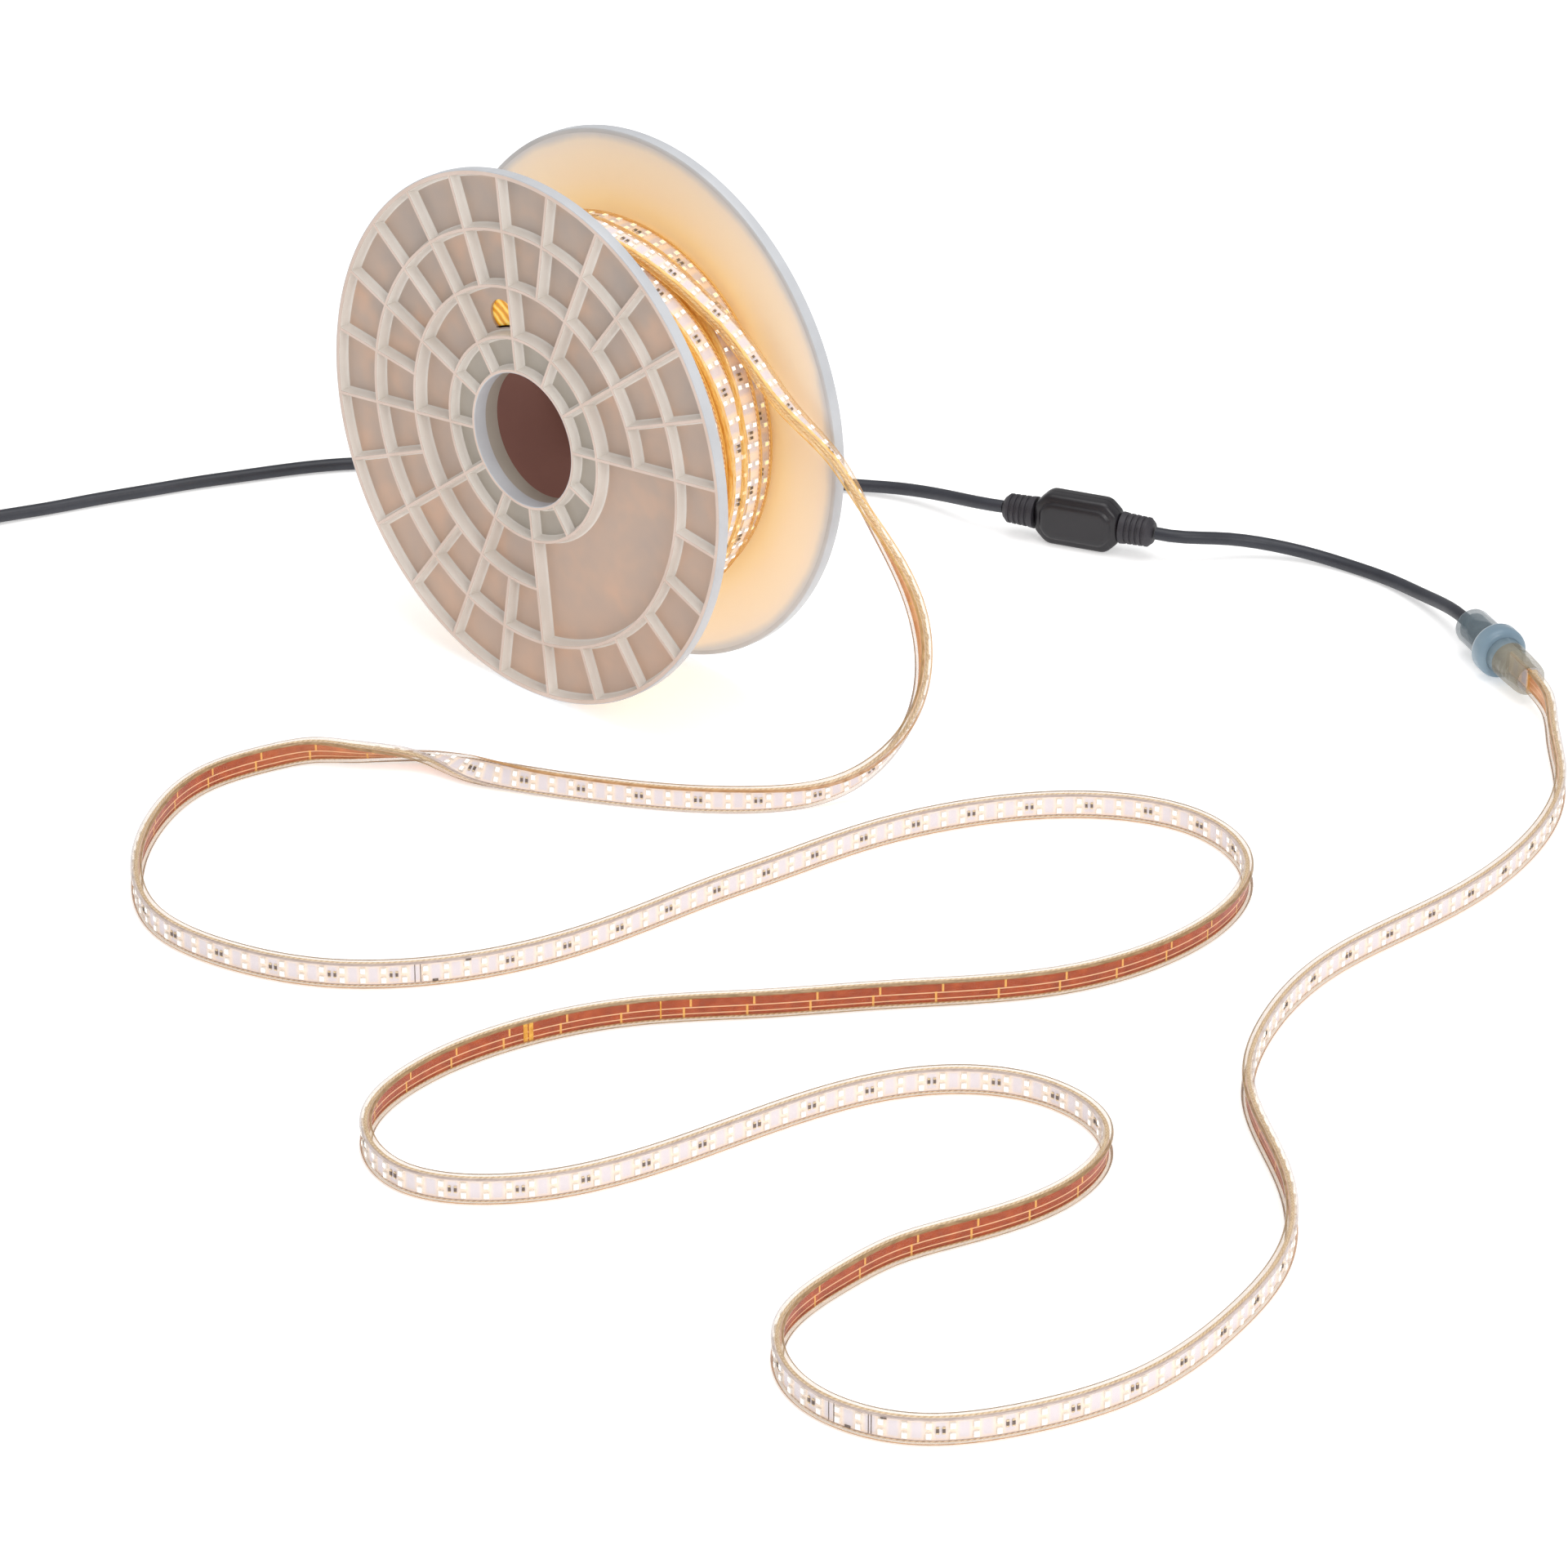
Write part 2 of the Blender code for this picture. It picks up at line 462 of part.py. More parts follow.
def case_half(name, sign, mat):
    """One half of the rectifier's case: a shell with its open side on the middle plane."""
    upright = Matrix.Rotation(math.radians(90), 4, 'X')
    body = outline_solid(name, [octagon], half_t,
                         along(RA, RT, cx, sign * (GAP / 2 + half_t / 2)) @ upright, mat)
    hollow = [(x * (hx - 3.2) / hx, z * (hz - 4.2) / hz) for x, z in octagon]
    tool = outline_solid("hollow_" + name, [hollow], 7.4,
                         along(RA, RT, cx, sign * (GAP / 2 + 2.7)) @ upright, cutter=True)
    cut(body, tool)
    mesh = baked(body)
    body.modifiers.clear()
    body.data = mesh
    # round the outer edge of the half
    bm = bmesh.new()
    bm.from_mesh(mesh)
    outer = -sign * half_t / 2 * MM
    edges = [e for e in bm.edges if all(abs(v.co.z - outer) < 1e-6 for v in e.verts)
             and abs(sum(f.normal.z for f in e.link_faces)) < 1.5 and len(e.link_faces) == 2
             and abs(e.link_faces[0].normal.z - e.link_faces[1].normal.z) > 0.5]
    bmesh.ops.bevel(bm, geom=edges, offset=3.0 * MM, segments=2, profile=0.6, affect='EDGES')
    bm.to_mesh(mesh)
    bm.free()
    return body


case_half("rectifier_case_front", -1, M_CASE)
case_half("rectifier_case_back", 1, M_CASE2)
box("rectifier_board", (37.0, 1.6, 19.0), along(RA, RT, cx), M_BOARD)
box("bridge_rectifier", (14.0, 3.6, 9.0), along(RA, RT, cx - 4.0, -0.8 - GAP - 1.8), M_BRIDGE, bevel=0.5)

ribs = []
for k in range(3):
    z = 3.6 + 4.6 * k
    ribs += [(9.1 + 0.14 * k, z), (8.3 + 0.14 * k, z + 1.0), (8.3 + 0.14 * k, z + 2.2), (9.2 + 0.14 * k, z + 3.2)]
relief = [(0.0, 0.0), (6.7, 0.0)] + ribs + [(9.9, 20.4), (0.0, 20.4)]
left = turned("strain_relief_left", [(r, -z) for r, z in relief], M_RELIEF2, seg=16)
left.matrix_world = along(RA, RT) @ Matrix.Rotation(math.radians(-90), 4, 'Y')
right = turned("strain_relief_right", [(r, -z) for r, z in relief], M_RELIEF, seg=16)
right.matrix_world = along(RA, RT, RECT_LEN) @ Matrix.Rotation(math.radians(90), 4, 'Y')

# ---------------------------------------------------------------- mains cable, coil and plug
cable("mains_cable", sampled(MAINS_ROUTE, 20, 25.0), M_MAINS)

zt, zb = COIL_Z0 + COIL_H, COIL_Z0
turned("mains_cable_coil", [(COIL_OUT - 2.5, zt), (COIL_OUT, zt - 2.5), (COIL_OUT, zb + 2.5), (COIL_OUT - 2.5, zb),
                            (COIL_IN + 2.5, zb), (COIL_IN, zb + 2.5), (COIL_IN, zt - 2.5), (COIL_IN + 2.5, zt)],
       M_COIL, location=(COIL_C[0], COIL_C[1], 0.0), seg=40)

TIE_AT = 60.0             # where around the coil the tie sits, degrees
tie_t, tie_w = 1.2, 5.0
ti, to = COIL_IN - 0.5, COIL_OUT + 0.5
z0, z1 = 0.05, zt + 0.5
inner_loop = [(ti, z0 + tie_t), (to, z0 + tie_t), (to, z1), (ti, z1)]
outer_loop = [(ti - tie_t, z0), (to + tie_t, z0), (to + tie_t, z1 + tie_t), (ti - tie_t, z1 + tie_t)]
tie_matrix = Matrix.Translation(Vector((COIL_C[0], COIL_C[1], 0)) * MM) @ Matrix.Rotation(math.radians(TIE_AT), 4, 'Z') \
    @ Matrix.Rotation(math.radians(90), 4, 'X')
outline_solid("coil_tie", [outer_loop, inner_loop], tie_w, tie_matrix, M_TIE)

cable("mains_cable_tail", sampled(TAIL_ROUTE, 5, 5.0), M_TAIL)

plug_outline = [(0.0, 4.3), (0.0, -4.3), (21.0, -5.2), (27.0, -12.5), (41.0, -17.6), (59.0, -17.6), (63.0, -13.2),
                (63.0, 13.2), (59.0, 17.6), (41.0, 17.6), (27.0, 12.5), (21.0, 5.2)]
outline_solid("plug_body", [plug_outline], 13.7, along(PLUG_AT, PLUG_TURN), M_PLUG, bevel=1.6)
for name, side, mat in (("plug_pin_1", 9.3, M_PRONG), ("plug_pin_2", -9.3, M_PRONG2)):
    pin = turned(name, [(0.0, 82.0), (1.2, 82.0), (2.0, 80.6), (2.0, 63.3), (0.0, 63.3)], mat, seg=16)
    pin.matrix_world = along(PLUG_AT, PLUG_TURN, side=side) @ Matrix.Rotation(math.radians(90), 4, 'Y')
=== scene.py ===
import bpy
import bmesh
import json
import math
import random
import numpy as np
from mathutils import Matrix, Vector

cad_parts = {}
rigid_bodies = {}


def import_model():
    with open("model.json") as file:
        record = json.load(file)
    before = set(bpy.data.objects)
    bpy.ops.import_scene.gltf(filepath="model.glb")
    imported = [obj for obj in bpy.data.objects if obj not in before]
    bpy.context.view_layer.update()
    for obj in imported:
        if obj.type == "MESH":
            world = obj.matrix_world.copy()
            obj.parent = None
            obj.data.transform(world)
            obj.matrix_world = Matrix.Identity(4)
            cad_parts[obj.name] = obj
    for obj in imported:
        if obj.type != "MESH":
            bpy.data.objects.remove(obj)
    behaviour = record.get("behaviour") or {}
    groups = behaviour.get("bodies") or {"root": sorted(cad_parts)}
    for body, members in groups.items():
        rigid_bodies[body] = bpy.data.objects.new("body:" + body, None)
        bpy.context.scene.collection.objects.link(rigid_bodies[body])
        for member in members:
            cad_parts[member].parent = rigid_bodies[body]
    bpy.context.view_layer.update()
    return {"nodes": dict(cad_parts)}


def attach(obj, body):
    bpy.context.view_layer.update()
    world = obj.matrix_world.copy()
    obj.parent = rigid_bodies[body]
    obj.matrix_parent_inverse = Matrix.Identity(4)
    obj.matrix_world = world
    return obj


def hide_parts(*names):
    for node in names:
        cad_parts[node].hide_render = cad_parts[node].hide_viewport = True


for leftover in list(bpy.data.objects):
    bpy.data.objects.remove(leftover, do_unlink=True)
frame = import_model()
random.seed(7)
MM = 0.001

# ------------------------------------------------------------------ camera and room
cam_data = bpy.data.cameras.new("camera")
cam_data.sensor_width = 36.0
cam_data.lens = 140.3
cam_data.clip_end = 50.0
cam = bpy.data.objects.new("camera", cam_data)
cam.location = (2.3277, -2.2108, 1.5557)
cam.rotation_euler = Vector((-0.6240, 0.6361, -0.4539)).to_track_quat('-Z', 'Y').to_euler()
bpy.context.scene.collection.objects.link(cam)
bpy.context.scene.camera = cam
bpy.context.scene.view_settings.view_transform = 'Standard'


def lin(r, g, b):
    out = []
    for v in (r, g, b):
        v /= 255.0
        out.append(v / 12.92 if v <= 0.04045 else ((v + 0.055) / 1.055) ** 2.4)
    return tuple(out)


def area_light(name, place, target, size, watts, colour=(1, 1, 1)):
    data = bpy.data.lights.new(name, 'AREA')
    data.shape = 'DISK'
    data.size = size
    data.energy = watts
    data.color = colour
    ob = bpy.data.objects.new(name, data)
    ob.location = place
    ob.rotation_euler = (Vector(target) - Vector(place)).to_track_quat('-Z', 'Y').to_euler()
    bpy.context.scene.collection.objects.link(ob)
    return ob


world = bpy.data.worlds.new("studio")
bpy.context.scene.world = world
world.use_nodes = True
world.node_tree.nodes["Background"].inputs["Color"].default_value = (1.0, 1.0, 1.0, 1.0)
world.node_tree.nodes["Background"].inputs["Strength"].default_value = 0.52
area_light("overhead", (0.3, 0.1, 3.2), (0.1, -0.05, 0.0), 3.0, 52.0)
area_light("key", (3.0, -1.0, 2.0), (0.1, -0.05, 0.1), 1.6, 34.0, (1.0, 0.985, 0.96))

# ------------------------------------------------------------------ route points (mm), as in the part
STRIP_ROUTE = (
    (-10.7, -8.5, 279.8, 0), (4.3, -6.3, 280.2, 0), (19.1, -4.2, 278.8, 0), (33.7, -2, 275.6, 0), (47.8, 1.3, 270.6, 0),
    (61.2, 4.7, 263.9, 0), (73.7, 8.7, 255.8, 0), (83.6, 12.4, 247.7, 0), (97, 17, 236.7, 2), (137, 25, 196.6, 11),
    (167, 33, 171, 24), (185, 36, 148.9, 39), (223, 40, 95.7, 78), (239, 22, 44, 136), (230, -21, 12.8, 118),
    (201, -67, 7.8, 90), (133, -118, 7.8, 90), (83, -144, 8.3, 82), (59, -151, 7.5, 27), (33, -156, 6.7, -25),
    (15, -169, 7.8, -43), (-2, -184, 8.3, -62), (-19, -198, 8.2, -84), (-29, -218, 7.8, -90), (-36, -263, 7.8, -90),
    (-17, -315, 7.8, -90), (23, -363, 7.8, -90), (76, -392, 7.8, -90), (130, -389, 7.8, -90), (180, -367, 7.8, -90),
    (224, -318, 7.8, -90), (250, -250, 7.8, -90), (261, -156, 7.8, -90), (267, -114, 7.8, -90), (276, -55, 7.8, -90),
    (304, 17, 7.8, -90), (344, 64, 7.8, -90), (393, 84, 7.8, -90), (445, 67, 7.8, -90), (474, 22, 7.8, -90),
    (480, -39, 7.8, -90), (465, -96, 7.8, -90), (407, -178, 7.8, -90), (369, -228, 7.8, -90), (327, -281, 7.8, -90),
    (300, -343, 7.8, -90), (295, -409, 7.8, -90), (315, -459, 7.8, -90), (365, -480, 7.8, -90), (410, -452, 7.8, -90),
    (437, -399, 7.8, -90), (461, -282, 7.8, -90), (487, -225, 7.8, -90), (531, -195, 7.8, -90), (585, -204, 7.8, -90),
    (609, -250, 7.8, -90), (598, -322, 7.8, -90), (587, -360, 7.8, -90), (586, -392, 7.8, -90), (599, -451, 7.8, -90),
    (644, -482, 7.8, -90), (700, -470, 7.8, -90), (733, -426, 7.8, -90), (751, -368, 7.8, -90), (746, -293, 7.8, -90),
    (723.5, -227.5, 7.8, -90), (675.7, -173.3, 7.8, -90), (609, -122, 7.8, -90), (571, -62, 7.8, -90), (552, 9, 7.8, -90),
    (554, 108, 7.8, -90), (543, 190, 7.8, -90), (511, 259, 9.4, -90), (470, 304, 12.4, -90), (447, 328, 14.6, -90),
    (426.0, 340.9, 15.6, -90),
)
LEAD_ROUTE = (
    (351.6, 376.9, 15.6), (342, 381.6, 15.2), (320, 392.4, 11.8), (296, 401.8, 7.4), (264, 409.5, 4.3),
    (234, 408.5, 4.0), (207, 402, 5.6), (186, 389.5, 8.8), (169, 372, 12.6), (155, 351.5, 15.8),
    (147, 344.4, 16.6), (138.9, 341.1, 16.7),
)
MAINS_ROUTE = (
    (46.8, 305.4, 16.7), (38, 302.2, 16.4), (14, 300.5, 13.4), (-10, 300, 9.8), (-33, 295.5, 7), (-55, 286, 5),
    (-110, 252, 4.0), (-200, 184, 4.0), (-270, 124, 4.0), (-306, 89.5, 4.0), (-326, 59, 4.0), (-340, 31, 4.0),
    (-354, 2, 4.0), (-366, -27, 4.0), (-378, -56, 4.0), (-389, -86, 4.0), (-400, -115, 4.6), (-404.4, -131.2, 5.4),
)
TAIL_ROUTE = ((-509.0, -142.5, 13.5), (-519.5, -126.7, 12.6), (-530.0, -111.0, 10.2), (-540.5, -95.2, 8.2), (-550.5, -80.2, 7.4))
COIL_C = (-456.0, -141.0)
CABLE_D = 7.8
REEL_R, REEL_HALF = 158.0, 49.6
COUPLING_AT, COUPLING_TURN = (382.4, 361.9, 15.6), -25.98
RECT_AT, RECT_TURN, RECT_LEN = (47.9, 305.8, 16.7), 21.2, 96.2
PLUG_AT, PLUG_TURN = (-550.7, -79.9, 7.4), 123.6


# ------------------------------------------------------------------ helpers
def link(ob, replaces=(), body="root"):
    bpy.context.scene.collection.objects.link(ob)
    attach(ob, body)
    if replaces:
        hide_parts(*replaces)
    return ob


def smooth_curve(points):
    pts = np.array(points, dtype=float)
    s = np.concatenate(([0.0], np.cumsum(np.linalg.norm(np.diff(pts[:, :3], axis=0), axis=1))))
    h = np.diff(s)
    n = len(s)
    a = np.zeros((n, n))
    b = np.zeros((n, pts.shape[1]))
    a[0, 0] = a[-1, -1] = 1.0
    for i in range(1, n - 1):
        a[i, i - 1], a[i, i], a[i, i + 1] = h[i - 1], 2 * (h[i - 1] + h[i]), h[i]
        b[i] = 6 * ((pts[i + 1] - pts[i]) / h[i] - (pts[i] - pts[i - 1]) / h[i - 1])
    m = np.linalg.solve(a, b)

    def at(t):
        t = np.atleast_1d(t)
        i = np.clip(np.searchsorted(s, t) - 1, 0, n - 2)
        u, v, hh = (s[i + 1] - t)[:, None], (t - s[i])[:, None], h[i][:, None]
        out = (m[i] * u ** 3 + m[i + 1] * v ** 3) / (6 * hh) + (pts[i] / hh - m[i] * hh / 6) * u \
            + (pts[i + 1] / hh - m[i + 1] * hh / 6) * v
        if pts.shape[1] > 3:
            out[:, 3] = np.interp(t, s, pts[:, 3])
        return out
    return at, s[-1]


def even(points, step):
    """Points an even distance apart along the smooth curve through the given ones."""
    at, total = smooth_curve(points)
    t = np.linspace(0.0, total, 6001)
    p = at(t)
    run = np.concatenate(([0.0], np.cumsum(np.linalg.norm(np.diff(p[:, :3], axis=0), axis=1))))
    n = max(3, int(round(run[-1] / step)) + 1)
    want = np.linspace(0.0, run[-1], n)
    return at(np.interp(want, run, t)), want


class Band:
    """Centre line of a flat strip, with its light side's direction and its width's."""

    def __init__(self, centre, normal, run=None):
        self.c = np.array(centre, float)
        self.t = np.gradient(self.c, axis=0)
        self.t /= np.linalg.norm(self.t, axis=1)[:, None]
        n = np.array(normal, float)
        n -= np.sum(n * self.t, axis=1)[:, None] * self.t
        self.n = n / np.linalg.norm(n, axis=1)[:, None]
        self.w = np.cross(self.n, self.t)
        self.s = run if run is not None else np.concatenate(
            ([0.0], np.cumsum(np.linalg.norm(np.diff(self.c, axis=0), axis=1))))

    def at(self, s):
        """Place and directions at a length along the strip."""
        out = []
        for a in (self.c, self.t, self.n, self.w):
            out.append(np.array([np.interp(s, self.s, a[:, k]) for k in range(3)]))
        return out


def loft(name, band, section, closed=False, mats=(), mat_of=None, caps=True):
    """Carry a section of (across, out) points along a band; UV is (length, around)."""
    k = len(section)
    verts = []
    for c, n, w in zip(band.c, band.n, band.w):
        for x, y in section:
            verts.append(tuple((c + w * x + n * y) * MM))
    rings = len(band.c)
    around = np.concatenate(([0.0], np.cumsum([math.dist(section[i], section[(i + 1) % k]) for i in range(k)])))
    faces, uvs, idx = [], [], []
    for i in range(rings if closed else rings - 1):
        j = (i + 1) % rings
        s0, s1 = band.s[i], (band.s[j] if j else band.s[-1] + (band.s[1] - band.s[0]))
        for a in range(k):
            b = (a + 1) % k
            faces.append((i * k + a, j * k + a, j * k + b, i * k + b))
            uvs.append(((s0, around[a]), (s1, around[a]), (s1, around[a + 1]), (s0, around[a + 1])))
            idx.append(mat_of(a) if mat_of else 0)
    if caps and not closed:
        faces.append(tuple(range(k)))
        faces.append(tuple(reversed(range((rings - 1) * k, rings * k))))
        uvs.append(tuple((0.0, 0.0) for _ in range(k)))
        uvs.append(tuple((0.0, 0.0) for _ in range(k)))
        idx += [0, 0]
    me = bpy.data.meshes.new(name)
    me.from_pydata(verts, [], faces)
    layer = me.uv_layers.new(name="run")
    flat = [c for quad in uvs for p in quad for c in (p[0] * MM, p[1] * MM)]
    layer.data.foreach_set("uv", flat)
    for m in mats:
        me.materials.append(m)
    me.polygons.foreach_set("material_index", idx)
    me.update()
    bm = bmesh.new()
    bm.from_mesh(me)
    bmesh.ops.recalc_face_normals(bm, faces=bm.faces)
    bm.to_mesh(me)
    bm.free()
    me.shade_smooth()
    me.set_sharp_from_angle(angle=math.radians(50))
    return bpy.data.objects.new(name, me)


def round_box_section(w, t, r, steps=3):
    pts = []
    for cx, cy, a0 in ((w / 2 - r, t / 2 - r, 0), (-w / 2 + r, t / 2 - r, 90),
                       (-w / 2 + r, -t / 2 + r, 180), (w / 2 - r, -t / 2 + r, 270)):
        for k in range(steps + 1):
            a = math.radians(a0 + 90 * k / steps)
            pts.append((cx + r * math.cos(a), cy + r * math.sin(a)))
    return pts


def round_section(cx, cy, r, steps=8):
    return [(cx + r * math.cos(2 * math.pi * k / steps), cy + r * math.sin(2 * math.pi * k / steps))
            for k in range(steps)]


def boxes(name, places, mats, chamfer=0.0):
    """Many small blocks in one mesh: (centre, along, out, across, size, material)."""
    verts, faces, idx = [], [], []
    for c, t, n, w, (a, h, b), mi in places:
        base = len(verts)
        for z, q in ((-h / 2, 1.0), (h / 2 - chamfer, 1.0), (h / 2, 1.0 - 2 * chamfer / min(a, b) if chamfer else 1.0)):
            for sx, sy in ((-1, -1), (1, -1), (1, 1), (-1, 1)):
                verts.append(tuple((c + t * (sx * a / 2 * q) + w * (sy * b / 2 * q) + n * z) * MM))
        for lo, hi in ((0, 4), (4, 8)):
            for k in range(4):
                m = (k + 1) % 4
                faces.append((base + lo + k, base + lo + m, base + hi + m, base + hi + k))
                idx.append(mi)
        faces.append((base + 8, base + 9, base + 10, base + 11))
        idx.append(mi)
        faces.append((base + 3, base + 2, base + 1, base + 0))
        idx.append(mi)
    me = bpy.data.meshes.new(name)
    me.from_pydata(verts, [], faces)
    for m in mats:
        me.materials.append(m)
    me.polygons.foreach_set("material_index", idx)
    me.update()
    bm = bmesh.new()
    bm.from_mesh(me)
    bmesh.ops.recalc_face_normals(bm, faces=bm.faces)
    bm.to_mesh(me)
    bm.free()
    return bpy.data.objects.new(name, me)


def turned(name, profile, mats, matrix=None, seg=96, mat_of=None, closed=True, sharp=35):
    """A turned solid: profile of (radius, height) about local Z, in mm."""
    verts, faces, idx = [], [], []
    k = len(profile)
    for i in range(seg):
        a = 2 * math.pi * i / seg
        for r, z in profile:
            verts.append((r * math.cos(a) * MM, r * math.sin(a) * MM, z * MM))
    for i in range(seg):
        j = (i + 1) % seg
        for p in range(k if closed else k - 1):
            q = (p + 1) % k
            f = [i * k + p, j * k + p, j * k + q, i * k + q]
            faces.append(tuple(f))
            idx.append(mat_of(p) if mat_of else 0)
    me = bpy.data.meshes.new(name)
    me.from_pydata(verts, [], faces)
    for m in (mats if isinstance(mats, (list, tuple)) else [mats]):
        me.materials.append(m)
    me.polygons.foreach_set("material_index", idx)
    bm = bmesh.new()
    bm.from_mesh(me)
    bmesh.ops.remove_doubles(bm, verts=bm.verts, dist=0.000002)
    bmesh.ops.dissolve_degenerate(bm, edges=bm.edges, dist=0.000001)
    bmesh.ops.recalc_face_normals(bm, faces=bm.faces)
    bm.to_mesh(me)
    bm.free()
    me.shade_smooth()
    me.set_sharp_from_angle(angle=math.radians(sharp))
    ob = bpy.data.objects.new(name, me)
    if matrix is not None:
        ob.matrix_world = matrix
    return ob


def along(at, turn, s=0.0, side=0.0, up=0.0):
    m = Matrix.Translation(Vector(at) * MM) @ Matrix.Rotation(math.radians(turn), 4, 'Z')
    return m @ Matrix.Translation(Vector((s, side, up)) * MM)


def on_axis(at, turn, s=0.0, side=0.0, up=0.0):
    return along(at, turn, s, side, up) @ Matrix.Rotation(math.radians(90), 4, 'Y')


# ------------------------------------------------------------------ materials
class Mat:
    """A small builder of node materials."""

    def __init__(self, name, rough=0.4, metal=0.0, **sockets):
        self.mat = bpy.data.materials.new(name)
        self.mat.use_nodes = True
        self.nt = self.mat.node_tree
        self.b = self.nt.nodes["Principled BSDF"]
        self.b.inputs["Roughness"].default_value = rough
        self.b.inputs["Metallic"].default_value = metal
        for key, value in sockets.items():
            self.b.inputs[key.replace("_", " ")].default_value = value
        self.tc = self.nt.nodes.new("ShaderNodeTexCoord")

    def node(self, kind, **props):
        n = self.nt.nodes.new(kind)
        for key, value in props.items():
            setattr(n, key, value)
        return n

    def wire(self, a, b):
        self.nt.links.new(a, b)

    def noise(self, scale, detail=4.0, coord="Object", rough=0.55):
        n = self.node("ShaderNodeTexNoise")
        n.inputs["Scale"].default_value = scale
        n.inputs["Detail"].default_value = detail
        n.inputs["Roughness"].default_value = rough
        self.wire(self.tc.outputs[coord], n.inputs["Vector"])
        return n.outputs["Fac"]

    def ramp(self, fac, stops, interp='LINEAR'):
        n = self.node("ShaderNodeValToRGB")
        n.color_ramp.interpolation = interp
        el = n.color_ramp.elements
        while len(el) < len(stops):
            el.new(0.5)
        for e, (pos, col) in zip(el, stops):
            e.position = pos
            e.color = (*col, 1.0) if len(col) == 3 else col
        self.wire(fac, n.inputs["Fac"])
        return n.outputs["Color"]

    def math(self, op, a, b=None, c=None, clamp=False):
        n = self.node("ShaderNodeMath", operation=op, use_clamp=clamp)
        for i, v in enumerate((a, b, c)):
            if v is None:
                continue
            if isinstance(v, (int, float)):
                n.inputs[i].default_value = v
            else:
                self.wire(v, n.inputs[i])
        return n.outputs["Value"]

    def mix(self, fac, a, b, blend='MIX'):
        n = self.node("ShaderNodeMix", data_type='RGBA', blend_type=blend)
        for sock, v in ((n.inputs[0], fac), (n.inputs[6], a), (n.inputs[7], b)):
            if isinstance(v, (int, float)):
                sock.default_value = v
            elif isinstance(v, tuple):
                sock.default_value = (*v, 1.0)
            else:
                self.wire(v, sock)
        return n.outputs[2]

    def xyz(self, coord="Object"):
        n = self.node("ShaderNodeSeparateXYZ")
        self.wire(self.tc.outputs[coord], n.inputs[0])
        return n.outputs["X"], n.outputs["Y"], n.outputs["Z"]

    def base(self, out):
        self.wire(out, self.b.inputs["Base Color"])

    def emit(self, colour, strength):
        if isinstance(colour, tuple):
            self.b.inputs["Emission Color"].default_value = (*colour, 1.0)
        else:
            self.wire(colour, self.b.inputs["Emission Color"])
        if isinstance(strength, (int, float)):
            self.b.inputs["Emission Strength"].default_value = strength
        else:
            self.wire(strength, self.b.inputs["Emission Strength"])

    def bump(self, fac, distance, strength=0.5):
        n = self.node("ShaderNodeBump")
        n.inputs["Strength"].default_value = strength
        n.inputs["Distance"].default_value = distance
        self.wire(fac, n.inputs["Height"])
        self.wire(n.outputs["Normal"], self.b.inputs["Normal"])

    def rough(self, fac, lo, hi):
        n = self.node("ShaderNodeMapRange")
        n.inputs["To Min"].default_value = lo
        n.inputs["To Max"].default_value = hi
        self.wire(fac, n.inputs["Value"])
        self.wire(n.outputs["Result"], self.b.inputs["Roughness"])


def plastic(name, dark, light, scale=60.0, rough=(0.35, 0.5), bump=0.00006, **kw):
    m = Mat(name, **kw)
    f = m.noise(scale, 5.0)
    m.base(m.ramp(f, [(0.3, dark), (0.7, light)]))
    g = m.noise(scale * 9, 3.0)
    m.rough(g, *rough)
    m.bump(g, bump, 0.4)
    return m.mat


# clear warm jacket of the rope light: one wall clear, another tan with the strands behind it; amber paints the light of
# the winding onto the first part of the run
def jacket(name, dark, light, alpha, glow=0.0, rough=0.12, amber=None):
    m = Mat(name, rough=rough, IOR=1.45, Alpha=alpha)
    streak = m.node("ShaderNodeTexNoise")
    streak.inputs["Scale"].default_value = 1.0
    streak.inputs["Detail"].default_value = 3.0
    mp = m.node("ShaderNodeMapping")
    mp.inputs["Rotation"].default_value = (0.0, 0.0, 0.6)
    mp.inputs["Scale"].default_value = (160.0, 900.0, 1.0)
    m.wire(m.tc.outputs["UV"], mp.inputs["Vector"])
    m.wire(mp.outputs["Vector"], streak.inputs["Vector"])
    col = m.ramp(streak.outputs["Fac"], [(0.35, dark), (0.65, light)])
    # painted light: amber near the reel, where the winding's glow falls on the rising strip, fading out from 0.17 m to
    # 0.40 m along the run
    if amber:
        sx = m.node("ShaderNodeSeparateXYZ")
        m.wire(m.tc.outputs["UV"], sx.inputs[0])
        near = m.node("ShaderNodeMapRange", interpolation_type='SMOOTHSTEP')
        near.inputs["From Min"].default_value = 0.17
        near.inputs["From Max"].default_value = 0.40
        near.inputs["To Min"].default_value = 1.0
        near.inputs["To Max"].default_value = 0.0
        m.wire(sx.outputs["X"], near.inputs["Value"])
        col = m.mix(near.outputs["Result"], col, m.ramp(streak.outputs["Fac"], [(0.35, amber[0]), (0.65, amber[1])]))
    m.base(col)
    if glow:
        m.emit(col, glow)
    return m.mat


J_FACE = jacket("rope_jacket_face", lin(255, 236, 218), lin(255, 248, 240), 0.07, 0.02)
